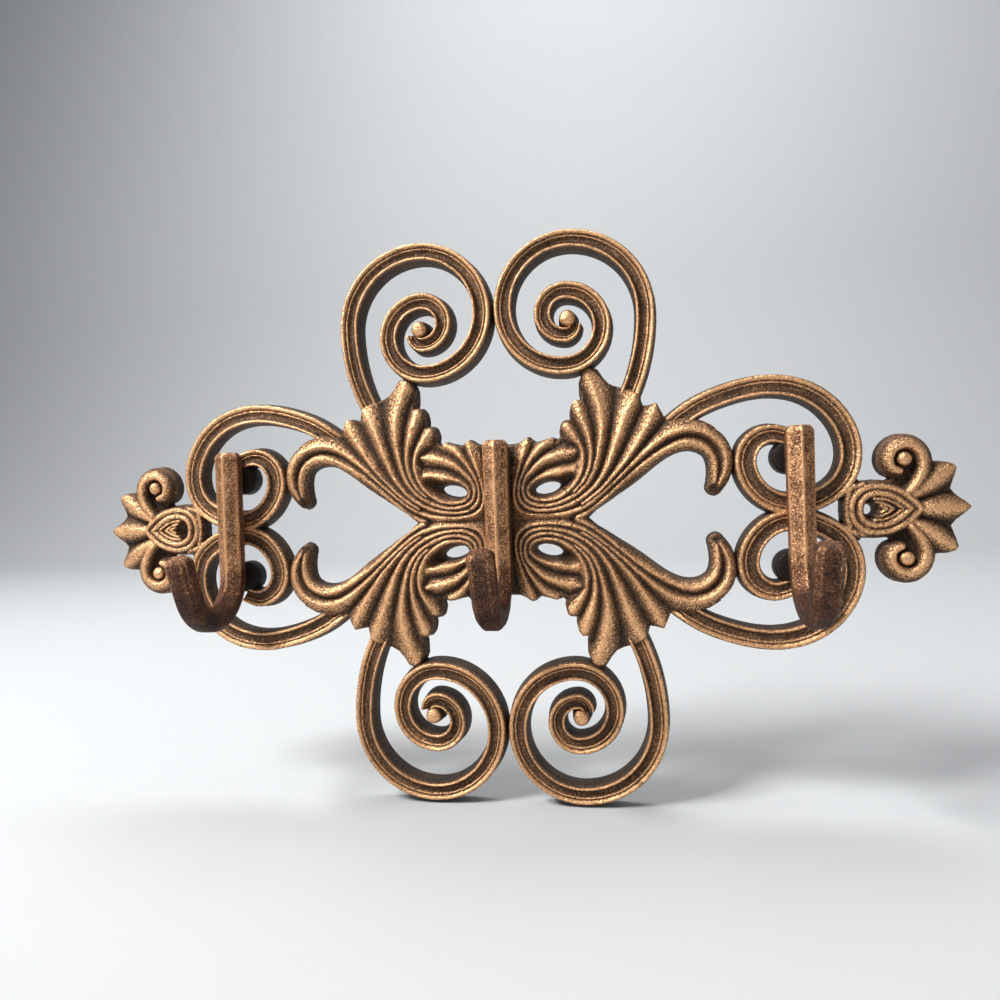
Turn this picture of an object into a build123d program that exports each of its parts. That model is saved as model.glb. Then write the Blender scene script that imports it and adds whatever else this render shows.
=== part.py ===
from build123d import *
import math
import os

# Scrolled wall rack with three hooks, in millimetres.
# The flat back lies on Y = 0, the ornament faces -Y, X runs along the rack and Z is up.
# The casting is drawn as one quarter (X > 0, Z > 0) and mirrored across both middle lines.

# Whole rack
half_length = 201.5
web_depth = 6.0
wall_draft = 0.8
foot = 0.5
volute_depth = 10.0
side_scroll_depth = 8.5
leaf_depth = 11.0
curl_depth = 9.0
palmette_depth = 8.0

# Large volute: a stem, then one radius for each quarter turn in to the eye
volute_start = (69.4, 92.5)
stem_radius = 88.0
stem_angle = 30.0
stem_sink = 1.8
volute_radii = (34.6, 29.9, 27.6, 17.5, 16.6, 10.3, 10.2, 5.6)
volute_width = 8.6
volute_end_width = 5.6
eye_radius = 4.0
eye_depth = 13.0
knob_sides = 10
pad_sides = 14

# Side scroll: middle line from the leaf, then its bends measured from the line of the hook
hook_spacing = 131.5
side_scroll_root = ((76.0, 38.0), (88.0, 46.9))
side_scroll_ring = (
    (-29.5, 52.8), (-12.0, 55.9), (5.0, 52.2), (17.5, 41.0), (22.5, 25.5), (18.7, 13.0), (10.0, 6.2),
    (-1.5, 3.2), (-11.0, 5.6), (-18.3, 12.6), (-21.3, 22.5), (-17.9, 31.2), (-10.2, 34.7), (-2.7, 32.6),
)
side_scroll_width = 8.6
small_scroll_width = 9.6
pad_centre = (hook_spacing - 2.9, 24.0)
pad_radius = 7.2

# Leaf curl that edges the heart-shaped opening
curl_points = (
    (16.0, 2.6), (26.0, 2.0), (35.0, 3.0), (43.0, 7.2), (51.0, 13.4), (60.0, 20.4), (71.0, 29.4),
    (81.5, 34.6), (90.5, 34.6), (97.4, 30.2), (99.6, 22.6), (98.2, 15.8), (95.6, 9.4),
)
curl_widths = (3.6, 4.0, 4.6, 6.0, 7.6, 9.4, 10.4, 11.2, 11.6, 11.4, 10.6, 8.6, 5.6)

# Acanthus fan: each row is one cross-cut, from its inner end to its outer end
fan_cuts = (
    ((34.4, 17.8), (41.8, 8.6)),
    ((37.0, 24.2), (55.5, 16.4)),
    ((36.4, 31.8), (67.0, 28.4)),
    ((30.0, 40.6), (79.0, 38.4)),
    ((24.0, 55.5), (84.0, 51.5)),
    ((20.0, 71.0), (90.0, 65.0)),
)
fan_depths = (10.4, 11.0, 11.0, 10.4, 10.0, 9.0)
fan_ridges = (
    (0.10, 0.30, 0.50, 0.70, 0.90),
    (0.11, 0.26, 0.42, 0.61, 0.84),
    (0.10, 0.22, 0.36, 0.545, 0.80),
    (0.10, 0.225, 0.38, 0.565, 0.78),
    (0.14, 0.22, 0.365, 0.655, 0.835),
    (0.17, 0.235, 0.32, 0.70, 0.88),
)
flute_drop = 2.6
lobe_tips = (
    ((31.0, 33.5), (29.2, 40.0), (30.8, 44.8)),
    ((34.2, 45.6), (34.6, 51.2), (37.2, 54.0)),
    ((39.2, 54.6), (38.2, 62.0), (42.0, 69.5)),
    ((47.6, 67.5), (50.2, 62.4), (55.0, 59.6)),
    ((57.6, 58.6), (61.8, 57.4), (65.0, 55.6)),
    ((65.6, 50.4), (69.0, 49.6), (72.8, 50.6)),
    ((74.4, 46.6), (76.0, 42.6), (76.6, 38.6)),
)

leaf_inner_edge = ((66.0, 27.6), (54.0, 17.4), (43.4, 8.0), (36.0, 16.4), (38.6, 24.0))

# Looped ridges round the oval opening, and the tips above them
oval_centre = (23.6, 15.2)
oval_half = (8.6, 4.0)
oval_tilt = 8.0
oval_sides = 16
loop_points = (
    (41.0, 26.8), (33.0, 26.6), (24.0, 24.8), (16.6, 20.6), (12.0, 14.4), (14.6, 9.4),
    (22.0, 7.0), (30.0, 8.2), (36.4, 12.2), (39.6, 16.2),
)
loop_widths = (12.6, 11.4, 9.2, 7.6, 6.4, 6.0, 6.2, 6.4, 6.6, 6.6)
loop_depth = 10.4
crest_points = (
    ((9.4, 12.0), (9.6, 20.0), (14.0, 28.2), (20.0, 33.0), (26.0, 37.0)),
    ((8.4, 18.0), (8.8, 26.0), (11.6, 32.4), (15.0, 38.2)),
)
crest_widths = ((4.0, 5.5, 7.0, 7.4, 2.2), (4.0, 5.0, 5.6, 1.8))
crest_depth = 9.2

ground_outline = (
    (-1, -1), (38.5, -1), (47, 7), (62, 20), (76, 30), (84, 33), (88, 40), (76, 42), (70, 45),
    (66, 47), (62, 54), (56, 58), (48, 62), (42, 62), (40, 50), (36, 44), (32, 40), (31, 36),
    (24, 34), (15, 35.4), (8, 35.4), (-1, 35.4),
)
centre_rib_half_width = 5.8
centre_rib_half_length = 34.4

# End palmette
screw_spacing = 322.0
screw_hole_radius = 2.6
screw_seat_radius = 4.6
drop_rings = (
    ((181.4, -0.8), (176.4, 5.2), (170.2, 8.8), (163.0, 10.0), (157.0, 8.4), (153.9, 4.6), (153.2, -0.8)),
    ((177.0, -0.8), (172.2, 3.8), (167.2, 6.2), (161.8, 6.5), (158.0, 4.2), (156.8, -0.8)),
)
drop_ring_width = 3.4
drop_ground = (
    (hook_spacing + 19.1, -1), (hook_spacing + 20.1, 7), (154, 12), (157, 14), (161, 12.4), (167, 12.2), (171, 16),
    (179, 18), (186.4, 19.4), (193.4, 7.6), (193, -1),
)
snail_centre = (175.2, 20.7)
snail_radius = 11.2
snail_band = 5.4
snail_ball_radius = 3.2
snail_root = (176.6, 7.6)
side_lobe_points = ((177.0, 5.4), (187.4, 11.8), (195.8, 18.2))
side_lobe_widths = (6.0, 11.0, 12.4, 10.0, 1.6)
middle_lobe_widths = (6.0, 11.0, 14.0, 9.4, 1.2)
lobe_fall = 3.0

# Hooks: a faceted bar bent into a J and bevelled at both ends
hook_width = 11.4
hook_thickness = 11.4
hook_ridge = 3.2
hook_top = 37.0
hook_bend_height = -21.3
hook_bend_radius = 19.0
hook_bend_angle = 158.0
hook_bend_facets = 9
hook_lip_length = 20.0
hook_bevel = 2.2
hook_seat_gap = 0.1
pad_depth = 8.6
tenon_half = 2.0
tenon_head_half = 2.8
tenon_head_depth = 1.6
tenon_height = 23.5
tenon_clearance = 0.1


def plan(x, z, depth=0.0):
    """Point of the rack at a height above the back."""
    return Vector(x, -depth, z)


def channel(width, depth):
    """Section of a scroll: a narrow and a wide raised rim with a hollow between."""
    half = width / 2
    return (
        (-half - wall_draft, -foot), (-half + 0.08 * width, depth),
        (-0.12 * width, depth - 2.0),
        (half - 0.30 * width, depth), (half - 0.04 * width, depth - 0.5),
        (half + wall_draft, -foot),
    )


def gable(width, depth, fall=2.2):
    """Section of a single ridge."""
    half = width / 2
    return ((-half, -foot), (-half, depth - fall), (0.0, depth), (half, depth - fall), (half, -foot))


def reeded(width, depth, reeds, fall):
    """Section of a band with several parallel ridges."""
    pitch = width / reeds
    points = [(-width / 2, -foot), (-width / 2, depth - fall)]
    for i in range(reeds):
        left = -width / 2 + i * pitch
        points += [(left + 0.5 * pitch, depth), (left + pitch, depth - fall)]
    points.append((width / 2, -foot))
    return points


def section_face(origin, side, section):
    """Stand a section up on the back, across the path."""
    corners = [origin + side * across + plan(0, 0, height) for across, height in section]
    return Face(Wire.make_polygon(corners, close=True))


def along(path, stops, make_section, ruled=False):
    """Loft sections set square to a path at the given fractions of its length."""
    faces = []
    for stop in stops:
        heading = path % stop
        side = Vector(heading.Z, 0, -heading.X)
        faces.append(section_face(path @ stop, side, make_section(stop)))
    return loft(faces, ruled=ruled)


def even(count):
    """Evenly spaced fractions from 0 to 1."""
    return [i / (count - 1) for i in range(count)]


def blend(values, stop):
    """Value at a fraction of an evenly spaced row of values."""
    place = stop * (len(values) - 1)
    low = min(int(place), len(values) - 2)
    return values[low] + (values[low + 1] - values[low]) * (place - low)


def slab(outline, depth):
    """Flat plate on the back from a closed outline."""
    return Solid.extrude(Face(Wire(outline)), Vector(0, -depth, 0))


def closed_lines(points):
    """Closed outline with straight sides."""
    return Wire.make_polygon([plan(x, z) for x, z in points], close=True).edges()


def volute():
    """Channelled scroll that rises from the leaf and coils in to a ball."""
    x, z = volute_start
    start = plan(
        x - stem_radius * (1 - math.cos(math.radians(stem_angle))),
        z - stem_radius * math.sin(math.radians(stem_angle)),
    )
    half_turn = math.radians(stem_angle / 2)
    mid = plan(
        x - stem_radius * (1 - math.cos(half_turn)),
        z - stem_radius * math.sin(half_turn),
    )
    edges = [Edge.make_three_point_arc(start, mid, plan(x, z))]
    heading = 90.0
    for radius in volute_radii:
        inward = math.radians(heading + 90)
        cx = x + radius * math.cos(inward)
        cz = z + radius * math.sin(inward)
        ring = []
        for turn in (45, 90):
            angle = math.radians(heading - 90 + turn)
            ring.append((cx + radius * math.cos(angle), cz + radius * math.sin(angle)))
        edges.append(Edge.make_three_point_arc(plan(x, z), plan(*ring[0]), plan(*ring[1])))
        x, z = ring[1]
        heading += 90
    path = Wire(edges)
    total = path.length
    stops = []
    run = 0.0
    for edge in edges:
        pieces = 2 + int(edge.length / 13)
        stops += [(run + edge.length * i / pieces) / total for i in range(pieces)]
        run += edge.length
    stops.append(1.0)

    def section(stop):
        width = volute_width + (volute_end_width - volute_width) * max(0.0, stop - 0.35) / 0.65
        return channel(width, volute_depth + 1.2 * stop - stem_sink * max(0.0, 1 - stop / 0.08))

    coil = along(path, stops, section, ruled=True)
    end = path @ 1.0
    centre = (end.X - 4.2, end.Z + 1.8)
    return [coil, knob(centre, eye_radius, eye_depth)]


def side_scroll():
    """Channelled scroll from the leaf round the hook, with its fixing pad."""
    bends = list(side_scroll_root) + [(hook_spacing + x, z) for x, z in side_scroll_ring]
    path = Edge.make_spline([plan(x, z) for x, z in bends])

    def section(stop):
        width = side_scroll_width + (small_scroll_width - side_scroll_width) * stop
        return channel(width * (1.0 - 0.25 * max(0.0, stop - 0.9) / 0.1), side_scroll_depth)

    scroll = along(path, even(25), section, ruled=True)
    pad = slab(closed_lines(round_points(pad_centre, pad_radius, pad_sides)), pad_depth)
    return [scroll, pad]


def leaf_curl():
    """Three-ridged edge of the leaf that ends in a hooked tip."""
    path = Edge.make_spline([plan(x, z) for x, z in curl_points])

    def section(stop):
        width = blend(curl_widths, stop)
        depth = curl_depth + 1.2 * (1 - stop)
        return reeded(width, depth, 3, min(1.5, 0.22 * width))

    return along(path, even(13), section, ruled=True)


def fluted_fan(cuts, ridge_rows, depths, drop):
    """Loft through straight cross-cuts whose ridges and flutes spread like a fan."""
    faces = []
    for (start, end), ridges, depth in zip(cuts, ridge_rows, depths):
        run = Vector(end[0] - start[0], 0, end[1] - start[1])
        section = [(0.0, -foot), (0.0, depth - drop)]
        for ridge, after in zip(ridges, list(ridges[1:]) + [None]):
            section.append((ridge * run.length, depth))
            if after is not None:
                section.append(((ridge + 0.56 * (after - ridge)) * run.length, depth - drop))
        section += [(run.length, depth - drop), (run.length, -foot)]
        faces.append(section_face(plan(*start), run.normalized(), section))
    return loft(faces, ruled=True)


def leaf_fan():
    """Fluted acanthus leaf trimmed to its pointed lobes."""
    fan = fluted_fan(fan_cuts, fan_ridges, fan_depths, flute_drop)
    edges = []
    for i, (notch, bow, tip) in enumerate(lobe_tips):
        edges.append(Edge.make_three_point_arc(plan(*notch), plan(*bow), plan(*tip)))
        if i + 1 < len(lobe_tips):
            edges.append(Edge.make_line(plan(*tip), plan(*lobe_tips[i + 1][0])))
    inner = [lobe_tips[-1][2]] + list(leaf_inner_edge) + [lobe_tips[0][0]]
    for start, end in zip(inner, inner[1:]):
        edges.append(Edge.make_line(plan(*start), plan(*end)))
    return fan & slab(edges, leaf_depth + 2)


def butterfly():
    """Ridges looped round the oval opening, with two tips on the upper edge."""
    path = Edge.make_spline([plan(x, z) for x, z in loop_points])
    loop = along(
        path, even(12), lambda stop: reeded(blend(loop_widths, stop), loop_depth, 3, 1.4), ruled=True
    )
    crests = []
    for points, widths in zip(crest_points, crest_widths):
        crest = Edge.make_spline([plan(x, z) for x, z in points])
        crests.append(
            along(crest, even(5), lambda stop, w=widths: gable(blend(w, stop), crest_depth), ruled=True)
        )
    return [loop] + crests


def webs():
    """Low ground that joins the leaf and the loops to the middle of the rack."""
    return [slab(closed_lines(ground_outline), web_depth)]


def palmette():
    """Upper half of the end ornament: drop, lobes and snail curl."""
    solids = [slab(closed_lines(drop_ground), palmette_depth - 2.4)]
    for ring in drop_rings:
        path = Edge.make_spline([plan(x, z) for x, z in ring])
        solids.append(along(
            path, even(7), lambda stop: gable(drop_ring_width, palmette_depth + 1.0), ruled=True
        ))
    side = Edge.make_spline([plan(x, z) for x, z in side_lobe_points])
    middle = Edge.make_line(plan(178.0, 0), plan(half_length, 0))
    for path, widths in ((side, side_lobe_widths), (middle, middle_lobe_widths)):
        solids.append(along(
            path, even(5),
            lambda stop, w=widths: gable(blend(w, stop), palmette_depth, lobe_fall), ruled=True,
        ))
    coil = [plan(*snail_root)]
    for i in range(8):
        angle = math.radians(-40 + 38 * i)
        radius = (snail_radius - snail_band / 2) * (1 - 0.02 * i)
        coil.append(plan(
            snail_centre[0] + radius * math.cos(angle),
            snail_centre[1] + radius * math.sin(angle),
        ))
    solids.append(along(
        Edge.make_spline(coil), even(11),
        lambda stop: gable(snail_band * (1 - 0.2 * stop), palmette_depth + 0.2), ruled=True,
    ))
    solids.append(slab(closed_lines(round_points(snail_centre, snail_radius - 1.8)), palmette_depth - 2.2))
    solids.append(knob(snail_centre, snail_ball_radius, palmette_depth + 1.2))
    seat = facing(screw_spacing / 2, 0)
    solids.append(Solid.make_cylinder(screw_seat_radius, palmette_depth - 1.2, seat))
    return solids


def knob(centre, radius, depth):
    """Small ball at the heart of a coil, as a many-sided domed boss."""
    rings = ((1.25 * radius, 0.0), (radius, depth - 0.7 * radius), (0.8 * radius, depth - 0.25 * radius),
             (0.3 * radius, depth))
    faces = []
    for ring_radius, height in rings:
        corners = [plan(x, z, height) for x, z in round_points(centre, ring_radius)]
        faces.append(Face(Wire.make_polygon(corners, close=True)))
    return loft(faces, ruled=True)


def round_points(centre, radius, sides=knob_sides):
    """Corners of a many-sided round."""
    turns = [2 * math.pi * i / sides for i in range(sides)]
    return [(centre[0] + radius * math.cos(a), centre[1] + radius * math.sin(a)) for a in turns]


def facing(x, z, depth=0.0):
    """Plane parallel to the back whose normal points to the front."""
    return Plane(plan(x, z, depth), x_dir=(1, 0, 0), z_dir=(0, -1, 0))


def square(x, z, half, depth=0.0):
    """Square face parallel to the back."""
    return Face(Wire.make_rect(2 * half, 2 * half, facing(x, z, depth)))


def tenons(x, clearance=0.0):
    """Two square tenons through the casting with heads set over at the back."""
    length = pad_depth + hook_seat_gap + 1.2
    solids = []
    for z in (tenon_height, -tenon_height):
        peg = square(x, z, tenon_half + clearance)
        solids.append(Solid.extrude(peg, Vector(0, -length, 0)))
        solids.append(loft([
            square(x, z, tenon_head_half + clearance),
            square(x, z, tenon_half + clearance, tenon_head_depth + clearance),
        ], ruled=True))
    return solids


def fuse_all(solids):
    """Fuse a list of solids one after another."""
    body = solids[0]
    for solid in solids[1:]:
        body = body.fuse(solid)
    return body


def scroll_plate():
    """One casting from four mirrored quarters, with its openings, screw and tenon holes."""
    quarter = fuse_all(
        volute() + side_scroll() + [leaf_curl(), leaf_fan()] + butterfly() + webs() + palmette()
    )
    quarter = quarter & Solid.make_box(1.2 * half_length, 40, half_length, Plane((0, -40, 0)))
    half = fuse_all([quarter, quarter.mirror(Plane.XY)])
    rib = Solid.extrude(
        Face(Wire.make_rect(2 * centre_rib_half_width, 2 * centre_rib_half_length, facing(0, 0))),
        Vector(0, -pad_depth, 0),
    )
    plate = fuse_all([half, half.mirror(Plane.YZ), rib])
    cutters = []
    for side_x in (1, -1):
        for side_z in (1, -1):
            tilt = math.radians(oval_tilt * side_x * side_z)
            plane = Plane(
                plan(side_x * oval_centre[0], side_z * oval_centre[1], -1),
                x_dir=(math.cos(tilt), 0, math.sin(tilt)), z_dir=(0, -1, 0),
            )
            rim = Edge.make_ellipse(*oval_half, plane)
            oval = Wire.make_polygon([rim @ (i / oval_sides) for i in range(oval_sides)], close=True)
            cutters.append(Solid.extrude(Face(oval), Vector(0, -30, 0)))
        cutters.append(Solid.make_cylinder(
            screw_hole_radius, 30, facing(side_x * screw_spacing / 2, 0, -1)
        ))
    for x in (-hook_spacing, 0, hook_spacing):
        cutters += tenons(x, tenon_clearance)
    return plate.cut(*cutters)


def faceted(sections):
    """Solid with flat sides through sections that have the same number of corners."""
    faces = [Face(Wire.make_polygon(sections[0], close=True))]
    for lower, upper in zip(sections, sections[1:]):
        for i, corner in enumerate(lower):
            j = (i + 1) % len(lower)
            side = [corner, lower[j], upper[j], upper[i]]
            faces.append(Face(Wire.make_polygon(side, close=True)))
    faces.append(Face(Wire.make_polygon(sections[-1], close=True)))
    return Solid(Shell(faces))


def hook(x):
    """One J hook of faceted bar, bevelled at both ends, with its tenons."""
    centre = pad_depth + hook_seat_gap + hook_thickness / 2
    turn = math.radians(hook_bend_angle)

    def bend_point(angle):
        return plan(
            x,
            hook_bend_height - hook_bend_radius * math.sin(angle),
            centre + hook_bend_radius * (1 - math.cos(angle)),
        )

    top = plan(x, hook_top - hook_bevel, centre)
    bend_end = bend_point(turn)
    rise = Vector(0, -math.sin(turn), -math.cos(turn))
    lip_end = bend_end + rise * (hook_lip_length - hook_bevel)
    half = hook_width / 2
    deep = hook_thickness / 2
    outline = (
        (0, -deep), (half, -deep + hook_ridge), (half, deep - 2.4), (half - 2.4, deep),
        (-half + 2.4, deep), (-half, deep - 2.4), (-half, -deep + hook_ridge),
    )

    def cross_section(origin, across_back, scale):
        return [origin + Vector(a * scale, 0, 0) + across_back * (b * scale) for a, b in outline]

    back = Vector(0, 1, 0)
    sections = [
        cross_section(top + Vector(0, 0, hook_bevel), back, 0.74),
        cross_section(top, back, 1.0),
    ]
    for i in range(hook_bend_facets + 1):
        angle = turn * i / hook_bend_facets
        outward = Vector(0, math.cos(angle), -math.sin(angle))
        sections.append(cross_section(bend_point(angle), outward, 1.0))
    sections.append(cross_section(lip_end, outward, 1.0))
    sections.append(cross_section(lip_end + rise * hook_bevel, outward, 0.66))
    return fuse_all([faceted(sections)] + tenons(x))


os.makedirs("parts", exist_ok=True)
export_step(scroll_plate(), "parts/scroll_plate.step")
for name, x in (("hook_left", -hook_spacing), ("hook_centre", 0.0), ("hook_right", hook_spacing)):
    export_step(hook(x), f"parts/{name}.step")
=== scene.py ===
"""Visual model of a scrolled cast wall rack with three faceted hooks."""
import logging
import math
from dataclasses import dataclass
from enum import Enum
from typing import Any, Callable, Sequence

import bmesh
import bpy
import numpy as np
from mathutils import Matrix, Vector, geometry, noise


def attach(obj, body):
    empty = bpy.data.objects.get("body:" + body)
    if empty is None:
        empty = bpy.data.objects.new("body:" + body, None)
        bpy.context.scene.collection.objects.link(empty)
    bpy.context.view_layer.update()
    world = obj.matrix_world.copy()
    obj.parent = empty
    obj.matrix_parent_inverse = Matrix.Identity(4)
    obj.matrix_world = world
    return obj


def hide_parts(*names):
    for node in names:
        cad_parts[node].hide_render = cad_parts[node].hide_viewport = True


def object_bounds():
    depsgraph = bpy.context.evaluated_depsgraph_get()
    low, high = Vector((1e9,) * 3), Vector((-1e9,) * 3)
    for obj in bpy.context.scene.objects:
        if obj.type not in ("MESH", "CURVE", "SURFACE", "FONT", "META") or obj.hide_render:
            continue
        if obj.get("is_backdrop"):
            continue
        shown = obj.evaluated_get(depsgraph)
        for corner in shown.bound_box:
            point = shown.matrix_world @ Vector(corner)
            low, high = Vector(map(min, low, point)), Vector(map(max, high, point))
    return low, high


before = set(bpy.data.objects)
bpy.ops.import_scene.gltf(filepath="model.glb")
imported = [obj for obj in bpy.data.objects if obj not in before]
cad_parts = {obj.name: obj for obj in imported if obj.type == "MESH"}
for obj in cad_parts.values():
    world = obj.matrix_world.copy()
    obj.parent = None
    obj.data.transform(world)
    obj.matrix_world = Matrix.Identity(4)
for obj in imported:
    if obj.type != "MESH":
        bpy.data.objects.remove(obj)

MM = 0.001
FRONT = (0.0, -1.0, 0.0)
SIDEWAYS = (1.0, 0.0, 0.0)
SEAM = 1e-4  # millimetres within which a point counts as on a mirror plane
WELD = 1.5e-5  # metres under which the vertices of mirrored halves are merged
FINE_STEP = 0.8  # millimetres between the points of a line that distances are taken from
COARSE_STEP = 2.5  # millimetres between the points of a line that is only sampled
FAR = 1e3  # millimetres, beyond every edge

NOISE_SEED = 7  # without it the noise is seeded by the clock and no two runs agree

log = logging.getLogger("rack")

Row = Sequence[float]


# --- Lines and fields ---

def smooth_rows(rows: Sequence[Row], step: float) -> np.ndarray:
    """Run a natural cubic spline through rows whose first two numbers are x and z.

    Args:
        rows: Points of the line, each with any further numbers to carry along.
        step: Distance between the points of the result, in millimetres.

    Returns:
        Array with one row per point of the smooth line.
    """
    table = np.array(rows, float)
    knots = run_along(table[:, :2])
    count = len(table)
    gaps = np.diff(knots)
    system = np.eye(count)
    right = np.zeros_like(table)
    for i in range(1, count - 1):
        system[i, i - 1:i + 2] = gaps[i - 1], 2 * (gaps[i - 1] + gaps[i]), gaps[i]
        right[i] = 6 * ((table[i + 1] - table[i]) / gaps[i] - (table[i] - table[i - 1]) / gaps[i - 1])
    bend = np.linalg.solve(system, right)
    places = np.linspace(0.0, knots[-1], max(3, int(round(knots[-1] / step)) + 1))
    low = np.clip(np.searchsorted(knots, places, side="right") - 1, 0, count - 2)
    span = gaps[low][:, None]
    after = (places - knots[low])[:, None]
    before = span - after
    return (
        bend[low] * before ** 3 / (6 * span) + bend[low + 1] * after ** 3 / (6 * span)
        + (table[low] / span - bend[low] * span / 6) * before
        + (table[low + 1] / span - bend[low + 1] * span / 6) * after
    )


def project(points: np.ndarray, line: np.ndarray) -> tuple[np.ndarray, np.ndarray, np.ndarray]:
    """Find the nearest place on a line for many points.

    Args:
        points: Points to look up, one (x, z) row each.
        line: Points of the line.

    Returns:
        Distances, places along the line in steps, and the side from 1 on the left to -1 on the right.
    """
    best = np.full(len(points), np.inf)
    place = np.zeros(len(points))
    side = np.ones(len(points))
    for i in range(len(line) - 1):
        run = line[i + 1] - line[i]
        rel = points - line[i]
        share = np.clip(rel @ run / max(run @ run, 1e-12), 0.0, 1.0)
        off = rel - share[:, None] * run
        gap = (off ** 2).sum(1)
        closer = gap < best
        best[closer] = gap[closer]
        place[closer] = i + share[closer]
        reach = np.sqrt(gap[closer]) * math.hypot(*run) + 1e-9
        side[closer] = (run[0] * off[closer, 1] - run[1] * off[closer, 0]) / reach
    return np.sqrt(best), place, side


def inside(points: np.ndarray, outline: np.ndarray) -> np.ndarray:
    """Signed distance to a closed outline, positive inside.

    Args:
        points: Points to look up.
        outline: Corners of the outline, not repeated at the end.

    Returns:
        One signed distance per point.
    """
    ring = np.vstack([outline, outline[:1]])
    distance = project(points, ring)[0]
    odd = np.zeros(len(points), bool)
    for (ax, az), (bx, bz) in zip(ring, ring[1:]):
        if az == bz:
            continue
        crosses = (points[:, 1] < az) != (points[:, 1] < bz)
        reach = ax + (points[:, 1] - az) * (bx - ax) / (bz - az)
        odd ^= crosses & (points[:, 0] < reach)
    return np.where(odd, distance, -distance)


def tilted(points: np.ndarray, middle: Row, degrees: float) -> tuple[np.ndarray, np.ndarray]:
    """Places of points along and across an axis tilted about its middle."""
    turn = math.radians(degrees)
    x, z = (points - np.array(middle)).T
    return x * math.cos(turn) + z * math.sin(turn), z * math.cos(turn) - x * math.sin(turn)


def run_along(points: np.ndarray) -> np.ndarray:
    """Distance along a line in the plane, at each of its points."""
    return np.concatenate([[0.0], np.cumsum(np.hypot(*np.diff(points, axis=0).T))])


@dataclass
class Ridge:
    """One raised ridge of the relief.

    Each row holds x, z, the half width to the left, the half width to the right and the height.
    """

    rows: Sequence[Row]
    drop: float = 2.4
    power: float = 1.6
    footprint: bool = False

    def heights(self, points: np.ndarray) -> tuple[np.ndarray, np.ndarray, np.ndarray]:
        """Height of this ridge over many points.

        Args:
            points: Points to look up.

        Returns:
            Heights, crest values from 0 to 1, and signed distances to the ridge's own edge.
        """
        line = smooth_rows(self.rows, FINE_STEP)
        distance, place, side = project(points, line[:, :2])
        steps = np.arange(len(line))
        left, right = np.interp(place, steps, line[:, 2]), np.interp(place, steps, line[:, 3])
        half = 0.5 * (left + right) + 0.5 * (left - right) * side
        half = np.maximum(half, 0.3)
        share = distance / half
        height = np.interp(place, steps, line[:, 4]) - self.drop * share ** self.power
        # the crest value falls to 0 at the ridge's edge, which leaves out the copper rub and lays painted shade
        # there
        return height, np.clip(1.0 - share ** 1.5, 0.0, 1.0), half - distance


@dataclass
class Flutes:
    """Rounded ridges along stroke lines with a sharp groove half way between neighbours.

    Each line holds x, z and the height of its crest.
    """

    lines: Sequence[Sequence[Row]]
    bounds: Sequence[Row]
    depth: float = 3.0
    slope: float = 0.56
    power: float = 1.35
    soften: float = 1.5
    footprint: bool = False

    def heights(self, points: np.ndarray) -> tuple[np.ndarray, np.ndarray, np.ndarray]:
        """Height of the fluted ground over many points.

        Args:
            points: Points to look up.

        Returns:
            Heights, crest values from 0 to 1, and signed distances to the edge of the ground.
        """
        lines = [smooth_rows(rows, FINE_STEP) for rows in self.lines]
        near, next_near = np.sort([project(points, line[:, :2])[0] for line in lines], axis=0)[:2]
        crown, total = np.zeros(len(points)), np.zeros(len(points))
        for x, z, top in np.vstack([smooth_rows(rows, COARSE_STEP) for rows in self.lines]):
            weight = 1.0 / ((points[:, 0] - x) ** 2 + (points[:, 1] - z) ** 2 + self.soften) ** 2
            crown += weight * top
            total += weight
        crown /= total
        spacing = near + next_near
        share = np.clip(2 * near / np.maximum(spacing, 1e-6), 0.0, 1.0)
        drop = np.minimum(self.depth, self.slope * spacing)
        edge = inside(points, np.array(self.bounds, float))
        # the crest value falls towards the grooves, which leaves out the copper rub and lays painted shade there
        return np.where(edge > 0, crown - drop * share ** self.power, -FAR), 1.0 - share ** 1.3, edge


# --- Node wiring ---

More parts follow.
